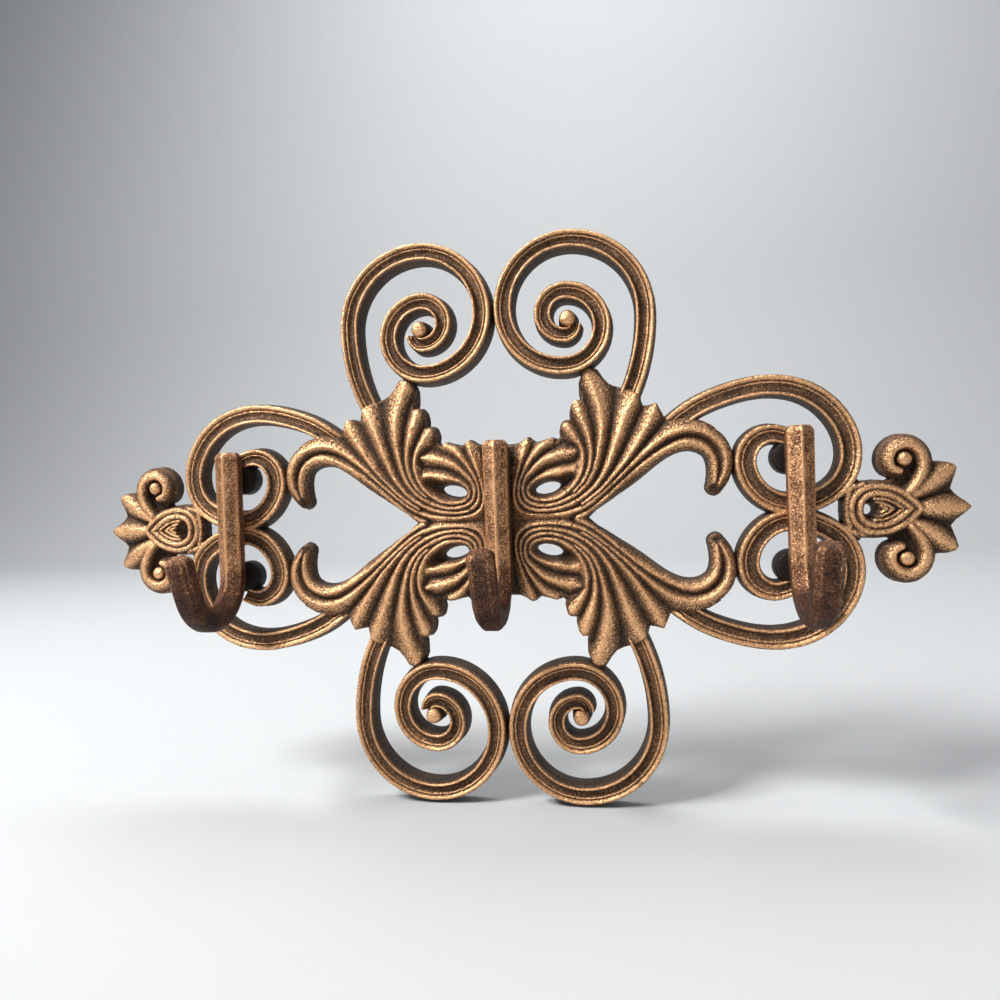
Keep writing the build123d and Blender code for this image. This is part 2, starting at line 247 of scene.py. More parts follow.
class Wiring:
    """Adds and joins nodes in a tree."""

    def __init__(self, tree: bpy.types.NodeTree) -> None:
        """Keep the tree that the nodes go into."""
        self.tree = tree

    def node(self, kind: str, inputs: dict[Any, Any] | None = None, **settings: Any) -> bpy.types.Node:
        """Add a node, set its options and feed its inputs.

        Args:
            kind: Type name of the node.
            inputs: Socket name or number to a value or to another node's output.
            settings: Options of the node.

        Returns:
            The new node.
        """
        made = self.tree.nodes.new(kind)
        for key, value in settings.items():
            setattr(made, key, value)
        for key, value in (inputs or {}).items():
            if isinstance(value, bpy.types.NodeSocket):
                self.tree.links.new(value, made.inputs[key])
            else:
                made.inputs[key].default_value = value
        return made

    def math(self, operation: str, *values: Any) -> bpy.types.NodeSocket:
        """Output of a math node."""
        return self.node("ShaderNodeMath", dict(enumerate(values)), operation=operation).outputs[0]

    def vector(self, operation: str, *values: Any) -> bpy.types.NodeSocket:
        """Vector output of a vector math node."""
        return self.node("ShaderNodeVectorMath", dict(enumerate(values)), operation=operation).outputs[0]

    def scaled(self, vector: Any, factor: Any) -> bpy.types.NodeSocket:
        """Vector times a number."""
        return self.node("ShaderNodeVectorMath", {0: vector, "Scale": factor}, operation="SCALE").outputs[0]

    def ramp(self, value: Any, limits: dict[str, Any], kind: str = "LINEAR") -> bpy.types.NodeSocket:
        """Output of a map range node."""
        return self.node("ShaderNodeMapRange", {"Value": value, **limits}, interpolation_type=kind).outputs[0]

    def named(self, name: str, kind: str = "FLOAT_VECTOR") -> bpy.types.NodeSocket:
        """Output of a named attribute in geometry nodes."""
        return self.node("GeometryNodeInputNamedAttribute", {"Name": name}, data_type=kind).outputs[0]

    def give(self, result: bpy.types.Node, values: dict[str, Any]) -> bpy.types.NodeTree:
        """Feed the group's output node and hand over the tree."""
        for name, socket in values.items():
            self.tree.links.new(socket, result.inputs[name])
        return self.tree

    def finished(self, mesh: Any, finish: Any, result: bpy.types.Node) -> bpy.types.NodeTree:
        """End a geometry tree: make the mesh real, set its material and hand over the tree."""
        real = self.node("GeometryNodeRealizeInstances", {0: mesh}).outputs[0]
        dressed = self.node("GeometryNodeSetMaterial", {"Geometry": real, "Material": finish}).outputs[0]
        return self.give(result, {"Mesh": dressed})


def new_tree(name: str, kind: str, inputs: dict[str, str], outputs: dict[str, str]) -> tuple:
    """Make a node group with named sockets.

    Args:
        name: Name of the group.
        kind: Type of the tree.
        inputs: Socket type of each input, by its name.
        outputs: Socket type of each output, by its name.

    Returns:
        The wiring, the sockets that carry the group's inputs, and its output node.
    """
    tree = bpy.data.node_groups.new(name, kind)
    for side, sockets in (("INPUT", inputs), ("OUTPUT", outputs)):
        for label, socket in sockets.items():
            tree.interface.new_socket(name=label, in_out=side, socket_type="NodeSocket" + socket)
    wiring = Wiring(tree)
    return wiring, wiring.node("NodeGroupInput").outputs, wiring.node("NodeGroupOutput")


def sweep_tree() -> bpy.types.NodeTree:
    """Geometry nodes that sweep a section along a path.

    Returns:
        The tree. Path points carry "section" (width, depth and lift) and "crest", section points "crest".
    """
    wiring, given, result = new_tree(
        "section_sweep", "GeometryNodeTree",
        {
            "Path": "Geometry", "Section": "Object", "Stations": "Int", "Corners": "Int",
            "Upright": "Vector", "Finish": "Material",
        },
        {"Mesh": "Geometry"},
    )
    path, upright, corners = given["Path"], given["Upright"], given["Corners"]
    section = wiring.node(
        "GeometryNodeObjectInfo", {"Object": given["Section"]}, transform_space="ORIGINAL"
    ).outputs["Geometry"]
    grid = wiring.node(
        "GeometryNodeMeshGrid", {"Vertices X": given["Stations"], "Vertices Y": corners}
    ).outputs["Mesh"]
    index = wiring.node("GeometryNodeInputIndex").outputs[0]
    position = wiring.node("GeometryNodeInputPosition").outputs[0]
    row = wiring.math("FLOOR", wiring.math("DIVIDE", wiring.math("ADD", index, 0.5), corners))
    column = wiring.math("SUBTRACT", index, wiring.math("MULTIPLY", row, corners))

    def sample(source: Any, value: Any, place: Any, kind: str = "FLOAT_VECTOR") -> Any:
        return wiring.node(
            "GeometryNodeSampleIndex", {"Geometry": source, "Value": value, "Index": place},
            data_type=kind, domain="POINT", clamp=True,
        ).outputs[0]

    after, before = (sample(path, position, wiring.math(step, row, 1.0)) for step in ("ADD", "SUBTRACT"))
    heading = wiring.vector("NORMALIZE", wiring.vector("SUBTRACT", after, before))
    size = wiring.node("ShaderNodeSeparateXYZ", {0: sample(path, wiring.named("section"), row)}).outputs
    corner = wiring.node("ShaderNodeSeparateXYZ", {0: sample(section, position, column)}).outputs
    across = wiring.math("MULTIPLY", corner["X"], size["X"])
    rise = wiring.math("ADD", wiring.math("MULTIPLY", corner["Y"], size["Y"]), size["Z"])
    sideways = wiring.vector("NORMALIZE", wiring.vector("CROSS_PRODUCT", heading, upright))
    offset = wiring.vector("ADD", wiring.scaled(sideways, across), wiring.scaled(upright, rise))
    place = wiring.vector("ADD", sample(path, position, row), offset)
    moved = wiring.node("GeometryNodeSetPosition", {"Geometry": grid, "Position": place}).outputs[0]
    crest = wiring.math(
        "MULTIPLY", sample(section, wiring.named("crest", "FLOAT"), column, "FLOAT"),
        sample(path, wiring.named("crest", "FLOAT"), row, "FLOAT"),
    )
    kept = wiring.node(
        "GeometryNodeStoreNamedAttribute", {"Geometry": moved, "Name": "crest", "Value": crest},
        data_type="FLOAT", domain="POINT",
    ).outputs[0]
    closed = wiring.node("GeometryNodeMergeByDistance", {"Geometry": kept, "Distance": 2e-6}).outputs[0]
    smooth = wiring.node("GeometryNodeSetShadeSmooth", {0: closed, "Shade Smooth": True}).outputs[0]
    return wiring.finished(smooth, given["Finish"], result)


def seed_tree() -> bpy.types.NodeTree:
    """Geometry nodes that set one shape on every point of a mesh.

    Returns:
        The tree. The points carry "size", the scale of the shape along x, y and z.
    """
    wiring, given, result = new_tree(
        "set_on_points", "GeometryNodeTree",
        {"Points": "Geometry", "Shape": "Object", "Finish": "Material"}, {"Mesh": "Geometry"},
    )
    shape = wiring.node(
        "GeometryNodeObjectInfo", {"Object": given["Shape"], "As Instance": True}, transform_space="ORIGINAL"
    ).outputs["Geometry"]
    placed = wiring.node("GeometryNodeInstanceOnPoints", {
        "Points": given["Points"], "Instance": shape, "Scale": wiring.named("size"),
    }).outputs[0]
    return wiring.finished(placed, given["Finish"], result)


# --- Meshes ---

def linked(name: str, data: Any) -> bpy.types.Object:
    """Put a new object with some data in the scene."""
    made = bpy.data.objects.new(name, data)
    bpy.context.scene.collection.objects.link(made)
    return made


def smooth_shaded(obj: bpy.types.Object) -> bpy.types.Object:
    """Shade every face of an object smoothly."""
    for polygon in obj.data.polygons:
        polygon.use_smooth = True
    return obj


def mesh_object(name: str, places: np.ndarray, faces: Sequence, edges: Sequence = ()) -> bpy.types.Object:
    """Make a linked mesh object at the origin.

    Args:
        name: Name of the object.
        places: Vertices in metres.
        faces: Vertex numbers of each face.
        edges: Vertex numbers of each loose edge.

    Returns:
        The object.
    """
    mesh = bpy.data.meshes.new(name)
    mesh.from_pydata([tuple(p) for p in places], [tuple(e) for e in edges], [tuple(f) for f in faces])
    return linked(name, mesh)


def add_values(obj: bpy.types.Object, name: str, values: np.ndarray) -> None:
    """Store numbers or vectors on the vertices.

    Args:
        obj: Mesh object.
        name: Name of the attribute.
        values: One number or one vector per vertex.
    """
    kind, field_name = ("FLOAT", "value") if values.ndim == 1 else ("FLOAT_VECTOR", "vector")
    made = obj.data.attributes.new(name, kind, "POINT")
    made.data.foreach_set(field_name, np.ascontiguousarray(values, np.float32).ravel())


def run_nodes(obj: bpy.types.Object, tree: bpy.types.NodeTree, values: dict[str, Any]) -> bpy.types.Object:
    """Run geometry nodes on an object and keep the result as a plain mesh.

    Args:
        obj: Object that gives the tree its first geometry. It is removed.
        tree: The tree to run.
        values: Input name to value.

    Returns:
        A new object with the evaluated mesh.
    """
    modifier = obj.modifiers.new(tree.name, "NODES")
    modifier.node_group = tree
    for item in tree.interface.items_tree:
        if item.in_out == "INPUT" and item.name in values:
            modifier[item.identifier] = values[item.name]
    obj.update_tag()
    bpy.context.view_layer.update()
    evaluated = obj.evaluated_get(bpy.context.evaluated_depsgraph_get())
    made = linked(obj.name + "_made", bpy.data.meshes.new_from_object(evaluated))
    bpy.data.objects.remove(obj)
    return made


def join_pieces(name: str, pieces: Sequence[bpy.types.Object], weld: float = 0.0) -> bpy.types.Object:
    """Join several objects into one mesh whose faces point outwards.

    Args:
        name: Name of the result.
        pieces: Objects to join. They are removed.
        weld: Distance under which vertices are merged, in metres.

    Returns:
        The joined object.
    """
    whole = bmesh.new()
    for piece in pieces:
        whole.from_mesh(piece.data)
        bpy.data.objects.remove(piece)
    if weld:
        bmesh.ops.remove_doubles(whole, verts=whole.verts, dist=weld)
    bmesh.ops.recalc_face_normals(whole, faces=whole.faces)
    mesh = bpy.data.meshes.new(name)
    whole.to_mesh(mesh)
    whole.free()
    return smooth_shaded(linked(name, mesh))


def mirrored(obj: bpy.types.Object, across_x: bool, across_z: bool) -> list[bpy.types.Object]:
    """An object with its mirror images.

    Args:
        obj: Object to mirror.
        across_x: Also mirror left to right.
        across_z: Also mirror top to bottom.

    Returns:
        The object and its copies.
    """
    out = [obj]
    for sx in (1, -1) if across_x else (1,):
        for sz in (1, -1) if across_z else (1,):
            if (sx, sz) == (1, 1):
                continue
            copy = linked(obj.name, obj.data.copy())
            copy.data.transform(Matrix.Diagonal((sx, 1, sz, 1)))
            if sx * sz < 0:
                copy.data.flip_normals()
            out.append(copy)
    return out


# --- Finishes ---

def roughen(
    piece: bpy.types.Object, box: Sequence, reach: float = 0.13, scale: float = 0.42, fade: float = 3.0
) -> None:
    """Give the front of a casting the slight waviness of a sand mould.

    Args:
        piece: Casting to change.
        box: Lowest and highest corner that it stays within, in metres.
        reach: Largest move in millimetres.
        scale: Waves per millimetre.
        fade: Height over the back at which the moves are whole, in millimetres.
    """
    places = np.empty(len(piece.data.vertices) * 3)
    piece.data.vertices.foreach_get("co", places)
    places = places.reshape(-1, 3)
    moves = np.array([noise.noise_vector(Vector(p) * scale / MM)[:] for p in places])
    places += moves * reach * MM * np.clip(-places[:, 1:2] / (fade * MM), 0, 1)
    places = np.clip(places, np.array(box[0]), np.array(box[1]))
    piece.data.vertices.foreach_set("co", places.ravel())
    piece.data.update()


def grain_group() -> bpy.types.NodeTree:
    """Shader group with the sandy skin of a casting.

    Returns:
        Group that gives fine grain and coarse blotches from 0 to 1, and the height of the skin.
    """
    wiring, given, result = new_tree(
        "cast_grain", "ShaderNodeTree", {"Fine Scale": "Float", "Blotch Scale": "Float"},
        {"Fine": "Float", "Blotch": "Float", "Height": "Float"},
    )
    place = wiring.node("ShaderNodeTexCoord").outputs["Object"]
    fine, blotch = (
        wiring.node("ShaderNodeTexNoise", {
            "Vector": place, "Scale": given[scale], "Detail": detail, "Roughness": rough,
        }).outputs[0]
        for scale, detail, rough in (("Fine Scale", 3.0, 0.65), ("Blotch Scale", 4.0, 0.6))
    )
    grit = wiring.node("ShaderNodeTexVoronoi", {
        "Vector": place, "Scale": wiring.math("MULTIPLY", given["Fine Scale"], 0.55),
    }).outputs[0]
    height = wiring.math("ADD", wiring.math("MULTIPLY", fine, 0.7), wiring.math("MULTIPLY", grit, -0.5))
    speckle = wiring.ramp(fine, {"From Min": 0.33, "From Max": 0.67})
    return wiring.give(result, {"Fine": speckle, "Blotch": blotch, "Height": height})


def rub_and_shade_group() -> bpy.types.NodeTree:
    """Shader group that lays a rubbed metal colour over a dark ground, which painted shade takes down to near black
    where the crest value is low.

    Returns:
        Group that gives the colour, the roughness and how much bare metal shows.
    """
    wiring, given, result = new_tree(
        "rubbed_colour", "ShaderNodeTree",
        {
            **dict.fromkeys(("Recess", "Body", "Rubbed"), "Color"),
            **dict.fromkeys(("Crest", "Fine", "Blotch", "Start", "End", "Grit", "Patch"), "Float"),
        },
        {"Color": "Color", "Roughness": "Float", "Metal": "Float"},
    )

    def centred(value: Any, amount: Any) -> Any:
        return wiring.math("MULTIPLY", wiring.math("SUBTRACT", value, 0.5), amount)

    def mix(factor: Any, first: Any, second: Any) -> Any:
        return wiring.node("ShaderNodeMix", {0: factor, 6: first, 7: second}, data_type="RGBA").outputs[2]

    level = wiring.math("ADD", given["Crest"], wiring.math(
        "ADD", centred(given["Fine"], given["Grit"]), centred(given["Blotch"], given["Patch"])
    ))
    rubbed = wiring.ramp(level, {"From Min": given["Start"], "From Max": given["End"]}, "SMOOTHSTEP")
    # painted shade: under the start of the rub the ground runs from the body colour down to the near-black recess
    # colour
    lit = wiring.ramp(level, {"From Min": -0.15, "From Max": given["Start"]}, "SMOOTHSTEP")
    ground = mix(lit, given["Recess"], given["Body"])
    return wiring.give(result, {
        "Color": mix(rubbed, ground, given["Rubbed"]),
        "Roughness": wiring.ramp(rubbed, {"To Min": 0.66, "To Max": 0.36}), "Metal": rubbed,
    })


@dataclass(frozen=True)
class RubbedIron:
    """Dark cast iron with a copper rub on its raised places, and near-black painted shade in its creases and
    hollows.
    """

    name: str
    # near black, darker than the dark paint itself: painted shade in creases and hollows
    recess_with_painted_shade: tuple[float, float, float]
    body: tuple[float, float, float]
    rubbed: tuple[float, float, float]
    start: float
    end: float
    grit: float
    patch: float = 0.5
    fine_scale: float = 1500.0
    blotch_scale: float = 70.0
    bump: float = 0.8
    bump_reach: float = 0.0006
    least_metal: float = 0.55
    most_metal: float = 0.95

    def build(self, grain: bpy.types.NodeTree, rub: bpy.types.NodeTree) -> bpy.types.Material:
        """Make the material.

        Args:
            grain: Shader group of the sandy skin.
            rub: Shader group of the rubbed colour and of the painted shade.

        Returns:
            The material.
        """
        made = bpy.data.materials.new(self.name)
        made.use_nodes = True
        made.node_tree.nodes.clear()
        wiring = Wiring(made.node_tree)
        skin = wiring.node("ShaderNodeGroup", {
            "Fine Scale": self.fine_scale, "Blotch Scale": self.blotch_scale,
        }, node_tree=grain).outputs
        crest = wiring.node("ShaderNodeAttribute", attribute_name="crest").outputs["Fac"]
        colour = wiring.node("ShaderNodeGroup", {
            "Recess": (*self.recess_with_painted_shade, 1), "Body": (*self.body, 1), "Rubbed": (*self.rubbed, 1),
            "Start": self.start, "End": self.end, "Grit": self.grit, "Patch": self.patch,
            "Crest": crest, "Fine": skin["Fine"], "Blotch": skin["Blotch"],
        }, node_tree=rub).outputs
        bump = wiring.node("ShaderNodeBump", {
            "Strength": self.bump, "Distance": self.bump_reach, "Height": skin["Height"],
        }).outputs[0]
        metal = wiring.ramp(colour["Metal"], {"To Min": self.least_metal, "To Max": self.most_metal})
        shader = wiring.node("ShaderNodeBsdfPrincipled", {
            "Base Color": colour["Color"], "Roughness": colour["Roughness"], "Metallic": metal, "Normal": bump,
        }).outputs[0]
        wiring.node("ShaderNodeOutputMaterial", {"Surface": shader})
        return made


@dataclass(frozen=True)
class PlainPaint:
    """Even matt colour of the stage."""

    name: str
    colour: tuple[float, float, float]

    def build(self) -> bpy.types.Material:
        """Make the material."""
        made = bpy.data.materials.new(self.name)
        made.use_nodes = True
        shader = made.node_tree.nodes["Principled BSDF"]
        shader.inputs["Base Color"].default_value = (*self.colour, 1)
        shader.inputs["Roughness"].default_value = 0.95
        return made


class Finish(Enum):
    """The two finishes of the rack, each with painted shade in its near-black recess colour."""

    # the recess colours, near black, are painted shade in the creases over the dark paint
    CASTING = RubbedIron(
        "rack_casting", recess_with_painted_shade=(0.010, 0.007, 0.005), body=(0.142, 0.073, 0.036), rubbed=(0.98, 0.55, 0.275),
        start=0.45, end=1.05, grit=0.80,
    )
    HOOK = RubbedIron(
        "hook_casting", recess_with_painted_shade=(0.008, 0.005, 0.004), body=(0.112, 0.044, 0.020), rubbed=(0.93, 0.50, 0.25),
        start=0.28, end=0.98, grit=0.62, fine_scale=1250.0, patch=0.8, blotch_scale=110.0,
    )


# --- Swept scrolls ---

@dataclass
class Tools:
    """Node trees and materials that the pieces share."""

    sweep: bpy.types.NodeTree
    seeds: bpy.types.NodeTree
    casting: bpy.types.Material
    hook: bpy.types.Material


class Part:
    """Anything that is built with the shared tools."""

    def build(self, tools: Tools) -> bpy.types.Object:
        """Make the part.

        Args:
            tools: Node trees and materials that the pieces share.

        Returns:
            The mesh object.
        """
        raise NotImplementedError


def line_object(name: str, places: np.ndarray, crest: np.ndarray) -> bpy.types.Object:
    """Chain of points with a crest value on each."""
    made = mesh_object(name, places, [], [(i, i + 1) for i in range(len(places) - 1)])
    add_values(made, "crest", crest)
    return made


def sweep(
    name: str, path: np.ndarray, sizes: np.ndarray, corners: Sequence[Row], upright: tuple, tools: Tools,
    finish: bpy.types.Material, crest: np.ndarray | None = None,
) -> bpy.types.Object:
    """Sweep a section along a path with closed ends.

    Args:
        name: Name of the piece.
        path: Points of the path in metres.
        sizes: Width, depth and lift at each point, in metres.
        corners: Section corners.
        upright: Direction in which the section's depth grows.
        tools: Shared trees.
        finish: Material.
        crest: Share of the section's crest value at each point.

    Returns:
        The swept mesh object.
    """
    # a section that stands on its path closes half way up, one centred on its path closes on it
    stands = float(np.mean([corner[1] for corner in corners]) > 0.2)
    middle = sizes[:, 1:2] * 0.5 * stands
    ends = [path[i] + np.array(upright) * middle[i] for i in (0, -1)]
    places = np.vstack([ends[0], path, ends[1]])
    share = np.ones(len(path)) if crest is None else crest
    line = line_object(name, places, np.concatenate([share[:1], share, share[-1:]]))
    add_values(line, "section", np.vstack([np.zeros(3), sizes, np.zeros(3)]))
    table = np.array([*corners, corners[0]], float)
    flat = np.column_stack([table[:, :2], np.zeros(len(table))])
    section = line_object(name + "_section", flat, table[:, 2])
    made = run_nodes(line, tools.sweep, {
        "Section": section, "Stations": len(places), "Corners": len(table),
        "Upright": upright, "Finish": finish,
    })
    bpy.data.objects.remove(section)
    return made


def in_metres(*columns: np.ndarray) -> np.ndarray:
    """Width, depth and lift of a section along its path, from columns or numbers in millimetres."""
    return np.column_stack(np.broadcast_arrays(*columns)) * MM


# across, height and crest value of a scroll's section; the low crest values in the channel leave out the copper rub
# and lay painted shade there
SCROLL_SECTION = (
    (-0.60, 0.0, 0.0), (-0.53, 0.60, 0.05), (-0.50, 0.88, 0.35), (-0.475, 0.965, 0.8),
    (-0.43, 1.0, 1.0), (-0.375, 0.985, 0.85), (-0.33, 0.93, 0.5), (-0.29, 0.85, 0.12),
    (-0.22, 0.80, 0.28), (-0.10, 0.785, 0.38), (0.0, 0.795, 0.36), (0.06, 0.83, 0.38),
    (0.10, 0.895, 0.8), (0.135, 0.91, 0.9), (0.165, 0.885, 0.55), (0.20, 0.865, 0.3),
    (0.235, 0.90, 0.6), (0.28, 0.965, 0.95), (0.34, 1.0, 1.0), (0.41, 0.99, 0.9),
    (0.465, 0.945, 0.6), (0.50, 0.86, 0.3), (0.53, 0.60, 0.05), (0.60, 0.0, 0.0),
)


def flat_path(points: np.ndarray, lift: float = 0.0) -> np.ndarray:
    """Points in metres, from (x, z) in millimetres, at a height over the plane of the rack's back."""
    return np.column_stack([points[:, 0], np.full(len(points), -lift), points[:, 1]]) * MM


@dataclass
class Volute(Part):
    """Large scroll that coils in to a ball."""

    start: tuple[float, float] = (69.4, 92.5)
    stem_radius: float = 88.0
    stem_angle: float = 36.0
    radii: tuple[float, ...] = (34.6, 29.9, 27.6, 17.5, 16.6, 10.3, 10.2, 4.8)
    widths: tuple[float, ...] = (8.4, 8.4, 7.9, 8.5, 8.3, 8.2, 8.0, 7.6, 6.8, 4.8)
    depth: float = 10.0
    rise: float = 1.2
    sink: float = 4.2
    rise_length: float = 30.0
    lift: float = 0.06
    eye_offset: tuple[float, float] = (-3.5, 2.6)

    def path(self) -> np.ndarray:
        """Points of the middle line, in millimetres."""
        x, z = self.start
        points = [
            (x - self.stem_radius * (1 - math.cos(a)), z - self.stem_radius * math.sin(a))
            for a in np.radians(np.linspace(self.stem_angle, 0.0, 16))
        ]
        heading = 90.0
        for radius in self.radii:
            inward = math.radians(heading + 90)
            cx, cz = x + radius * math.cos(inward), z + radius * math.sin(inward)
            steps = max(9, int(radius * 0.6))
            for turn in np.linspace(0, 90, steps + 1)[1:]:
                angle = math.radians(heading - 90 + turn)
                points.append((cx + radius * math.cos(angle), cz + radius * math.sin(angle)))
            x, z = points[-1]
            heading += 90
        return np.array(points)

    def build(self, tools: Tools) -> bpy.types.Object:
        """Sweep the scroll of one quarter."""
        points = self.path()
        run = run_along(points)
        stop = run / run[-1]
        width = np.interp(self.turned(points) / 90.0, np.arange(len(self.widths)) - 0.4, self.widths)
        depth = self.depth + self.rise * stop - self.sink * np.clip(1 - run / self.rise_length, 0, 1)
        path = flat_path(points, self.lift)
        return sweep("volute", path, in_metres(width, depth, 0.0), SCROLL_SECTION, FRONT, tools, tools.casting)

    @staticmethod
    def turned(points: np.ndarray) -> np.ndarray:
        """Degrees that a line has turned through at each of its points."""
        run = np.diff(points, axis=0)
        angle = np.unwrap(np.arctan2(run[:, 1], run[:, 0]))
        turns = np.degrees(np.append(np.diff(angle), 0.0))
        return np.concatenate([[0], np.cumsum(np.abs(turns))])

    def eye(self) -> tuple[float, float]:
        """Middle of the ball, in millimetres."""
        (x, z), (dx, dz) = self.path()[-1], self.eye_offset
        return x + dx, z + dz


@dataclass
class SideScroll(Part):
    """Scroll that runs from the leaf round the hook."""

    rows: tuple[tuple[float, float], ...] = (
        (76.0, 38.0), (88.0, 46.9), (102.0, 52.8), (119.5, 55.9), (136.5, 52.2), (149.0, 41.0),
        (154.0, 25.5), (150.2, 13.0), (141.5, 6.2), (130.0, 3.2), (120.5, 5.6), (113.2, 12.6),
        (110.2, 22.5), (113.6, 31.2), (121.3, 34.7), (128.8, 32.6),
    )
    width: float = 8.6
    end_width: float = 9.6
    depth: float = 8.5
    sink: float = 3.6
    lift: float = 0.09

    def build(self, tools: Tools) -> bpy.types.Object:
        """Sweep the scroll of one quarter."""
        points = smooth_rows(self.rows, 2.0)[:, :2]
        stop = np.linspace(0, 1, len(points))
        taper = 1 - 0.25 * np.clip((stop - 0.9) / 0.1, 0, 1)
        width = (self.width + (self.end_width - self.width) * stop) * taper
        depth = np.interp(stop, (0.0, 0.05, 1.0), (self.depth - self.sink, self.depth, self.depth))
        section = [(-a, b, c) for a, b, c in reversed(SCROLL_SECTION)]
        path = flat_path(points, self.lift)
        return sweep("side_scroll", path, in_metres(width, depth, 0.0), section, FRONT, tools, tools.casting)


# --- Relief ---

@dataclass
class Relief(Part):
    """Carved sheet whose height is the highest of its ridges.

    The outline is where the signed distance of all its parts is zero. Hollows are ovals sunk into
    it, each x, z, half length, half width, tilt and depth. A wall goes down in levels, each with its
    share of the draft, its share of the height and its crest value.
    """

    name: str
    low: tuple[float, float]
    high: tuple[float, float]
    cell: float
    ground: float
    ridges: Sequence["Ridge | Flutes"]
    parts: Sequence[Sequence[Row]]
    holes: Callable[[np.ndarray], np.ndarray]
    draft: float = 0.8
    round_over: float = 1.1
    hollows: Sequence[Row] = ()
    rim_width: float = 1.4
    rim_crest: float = 0.42
    plain_crest: float = 0.06
    lift: float = 0.03
    levels: Sequence[Row] = ((0.25, 0.55, 0.10), (1.0, 0.0, 0.0))

    def fields(self, points: np.ndarray) -> tuple[np.ndarray, np.ndarray, np.ndarray]:
        """Height, crest value and signed edge distance over many points."""
        height = np.full(len(points), self.ground)
        crest = np.full(len(points), self.plain_crest)
        edge = np.full(len(points), -FAR)
        for ridge in self.ridges:
            top, value, own = ridge.heights(points)
            wins = top > height
            height[wins] = top[wins]
            crest[wins] = value[wins]
            if ridge.footprint:
                edge = np.maximum(edge, own)
        for x, z, length, width, tilt, depth in self.hollows:
            along, across = tilted(points, (x, z), tilt)
            share = np.clip(1 - (along / length) ** 2 - (across / width) ** 2, 0, 1)
            height -= depth * share
            # lower crest value in the sunk hollows: less copper rub there, and painted shade from the near-black
            # recess colour
            crest *= 1 - 0.75 * share
        for part in self.parts:
            edge = np.maximum(edge, inside(points, np.array(part, float)))
        return height, crest, np.minimum(edge, self.holes(points))

    def build(self, tools: Tools) -> bpy.types.Object:
        """Make the relief of one quarter, open at x = 0 and z = 0."""
        xs = np.arange(self.low[0], self.high[0] + self.cell, self.cell)
        zs = np.arange(self.low[1], self.high[1] + self.cell, self.cell)
        gx, gz = np.meshgrid(xs, zs, indexing="ij")
        points = np.column_stack([gx.ravel(), gz.ravel()])
        edge = self.fields(points)[2]
        number = np.arange(len(points)).reshape(gx.shape)
        a, b = number[:-1, :-1].ravel(), number[1:, :-1].ravel()
        c, d = number[1:, 1:].ravel(), number[:-1, 1:].ravel()
        even = ((np.add.outer(np.arange(gx.shape[0] - 1), np.arange(gx.shape[1] - 1)) % 2) == 0).ravel()
        triangles = np.vstack([
            np.column_stack([a, b, c])[even], np.column_stack([a, c, d])[even],
            np.column_stack([a, b, d])[~even], np.column_stack([b, c, d])[~even],
        ])
        snap = 0.12 * self.cell
        edge[np.abs(edge) < snap] = snap
        places, faces = self.clip(points, edge, triangles)
        height, crest, edge = self.fields(places)
        height = height - self.round_over * np.clip(1 - np.maximum(edge, 0) / self.round_over, 0, 1) ** 2
        rim = np.clip(1 - np.maximum(edge, 0) / self.rim_width, 0, 1)
        crest = np.maximum(crest * (1 - 0.3 * rim), self.rim_crest * rim)
        return self.solid(places, faces, height, crest, tools)

    @staticmethod
    def clip(points: np.ndarray, edge: np.ndarray, triangles: np.ndarray) -> tuple[np.ndarray, np.ndarray]:
        """Cut triangles at the zero line of the edge distance.

        Args:
            points: Grid points.
            edge: Signed distance at each point.
            triangles: Grid triangles.

        Returns:
            Points and triangles of the part inside.
        """
        keep: list[tuple[int, int, int]] = []
        extra: dict[tuple[int, int], int] = {}
        made: list[np.ndarray] = []

        def cut(i: int, j: int) -> int:
            key = (min(i, j), max(i, j))
            if key not in extra:
                share = edge[key[0]] / (edge[key[0]] - edge[key[1]])
                made.append(points[key[0]] + share * (points[key[1]] - points[key[0]]))
                extra[key] = len(points) + len(made) - 1
            return extra[key]

        inner = edge[triangles] > 0
        whole = triangles[inner.all(1)]
        for row, flags in zip(triangles, inner):
            count = int(flags.sum())
            if count in (0, 3):
                continue
            first = int(np.argmax(flags)) if count == 1 else int(np.argmin(flags))
            i, j, k = (int(row[(first + n) % 3]) for n in range(3))
            if count == 1:
                keep.append((i, cut(i, j), cut(i, k)))
            else:
                keep += [(cut(i, j), j, k), (cut(i, j), k, cut(i, k))]
        faces = np.vstack([whole, np.array(keep, int).reshape(-1, 3)])
        places = np.vstack([points, np.array(made).reshape(-1, 2)])
        used = np.unique(faces)
        renumber = np.full(len(places), -1)
        renumber[used] = np.arange(len(used))
        return places[used], renumber[faces]

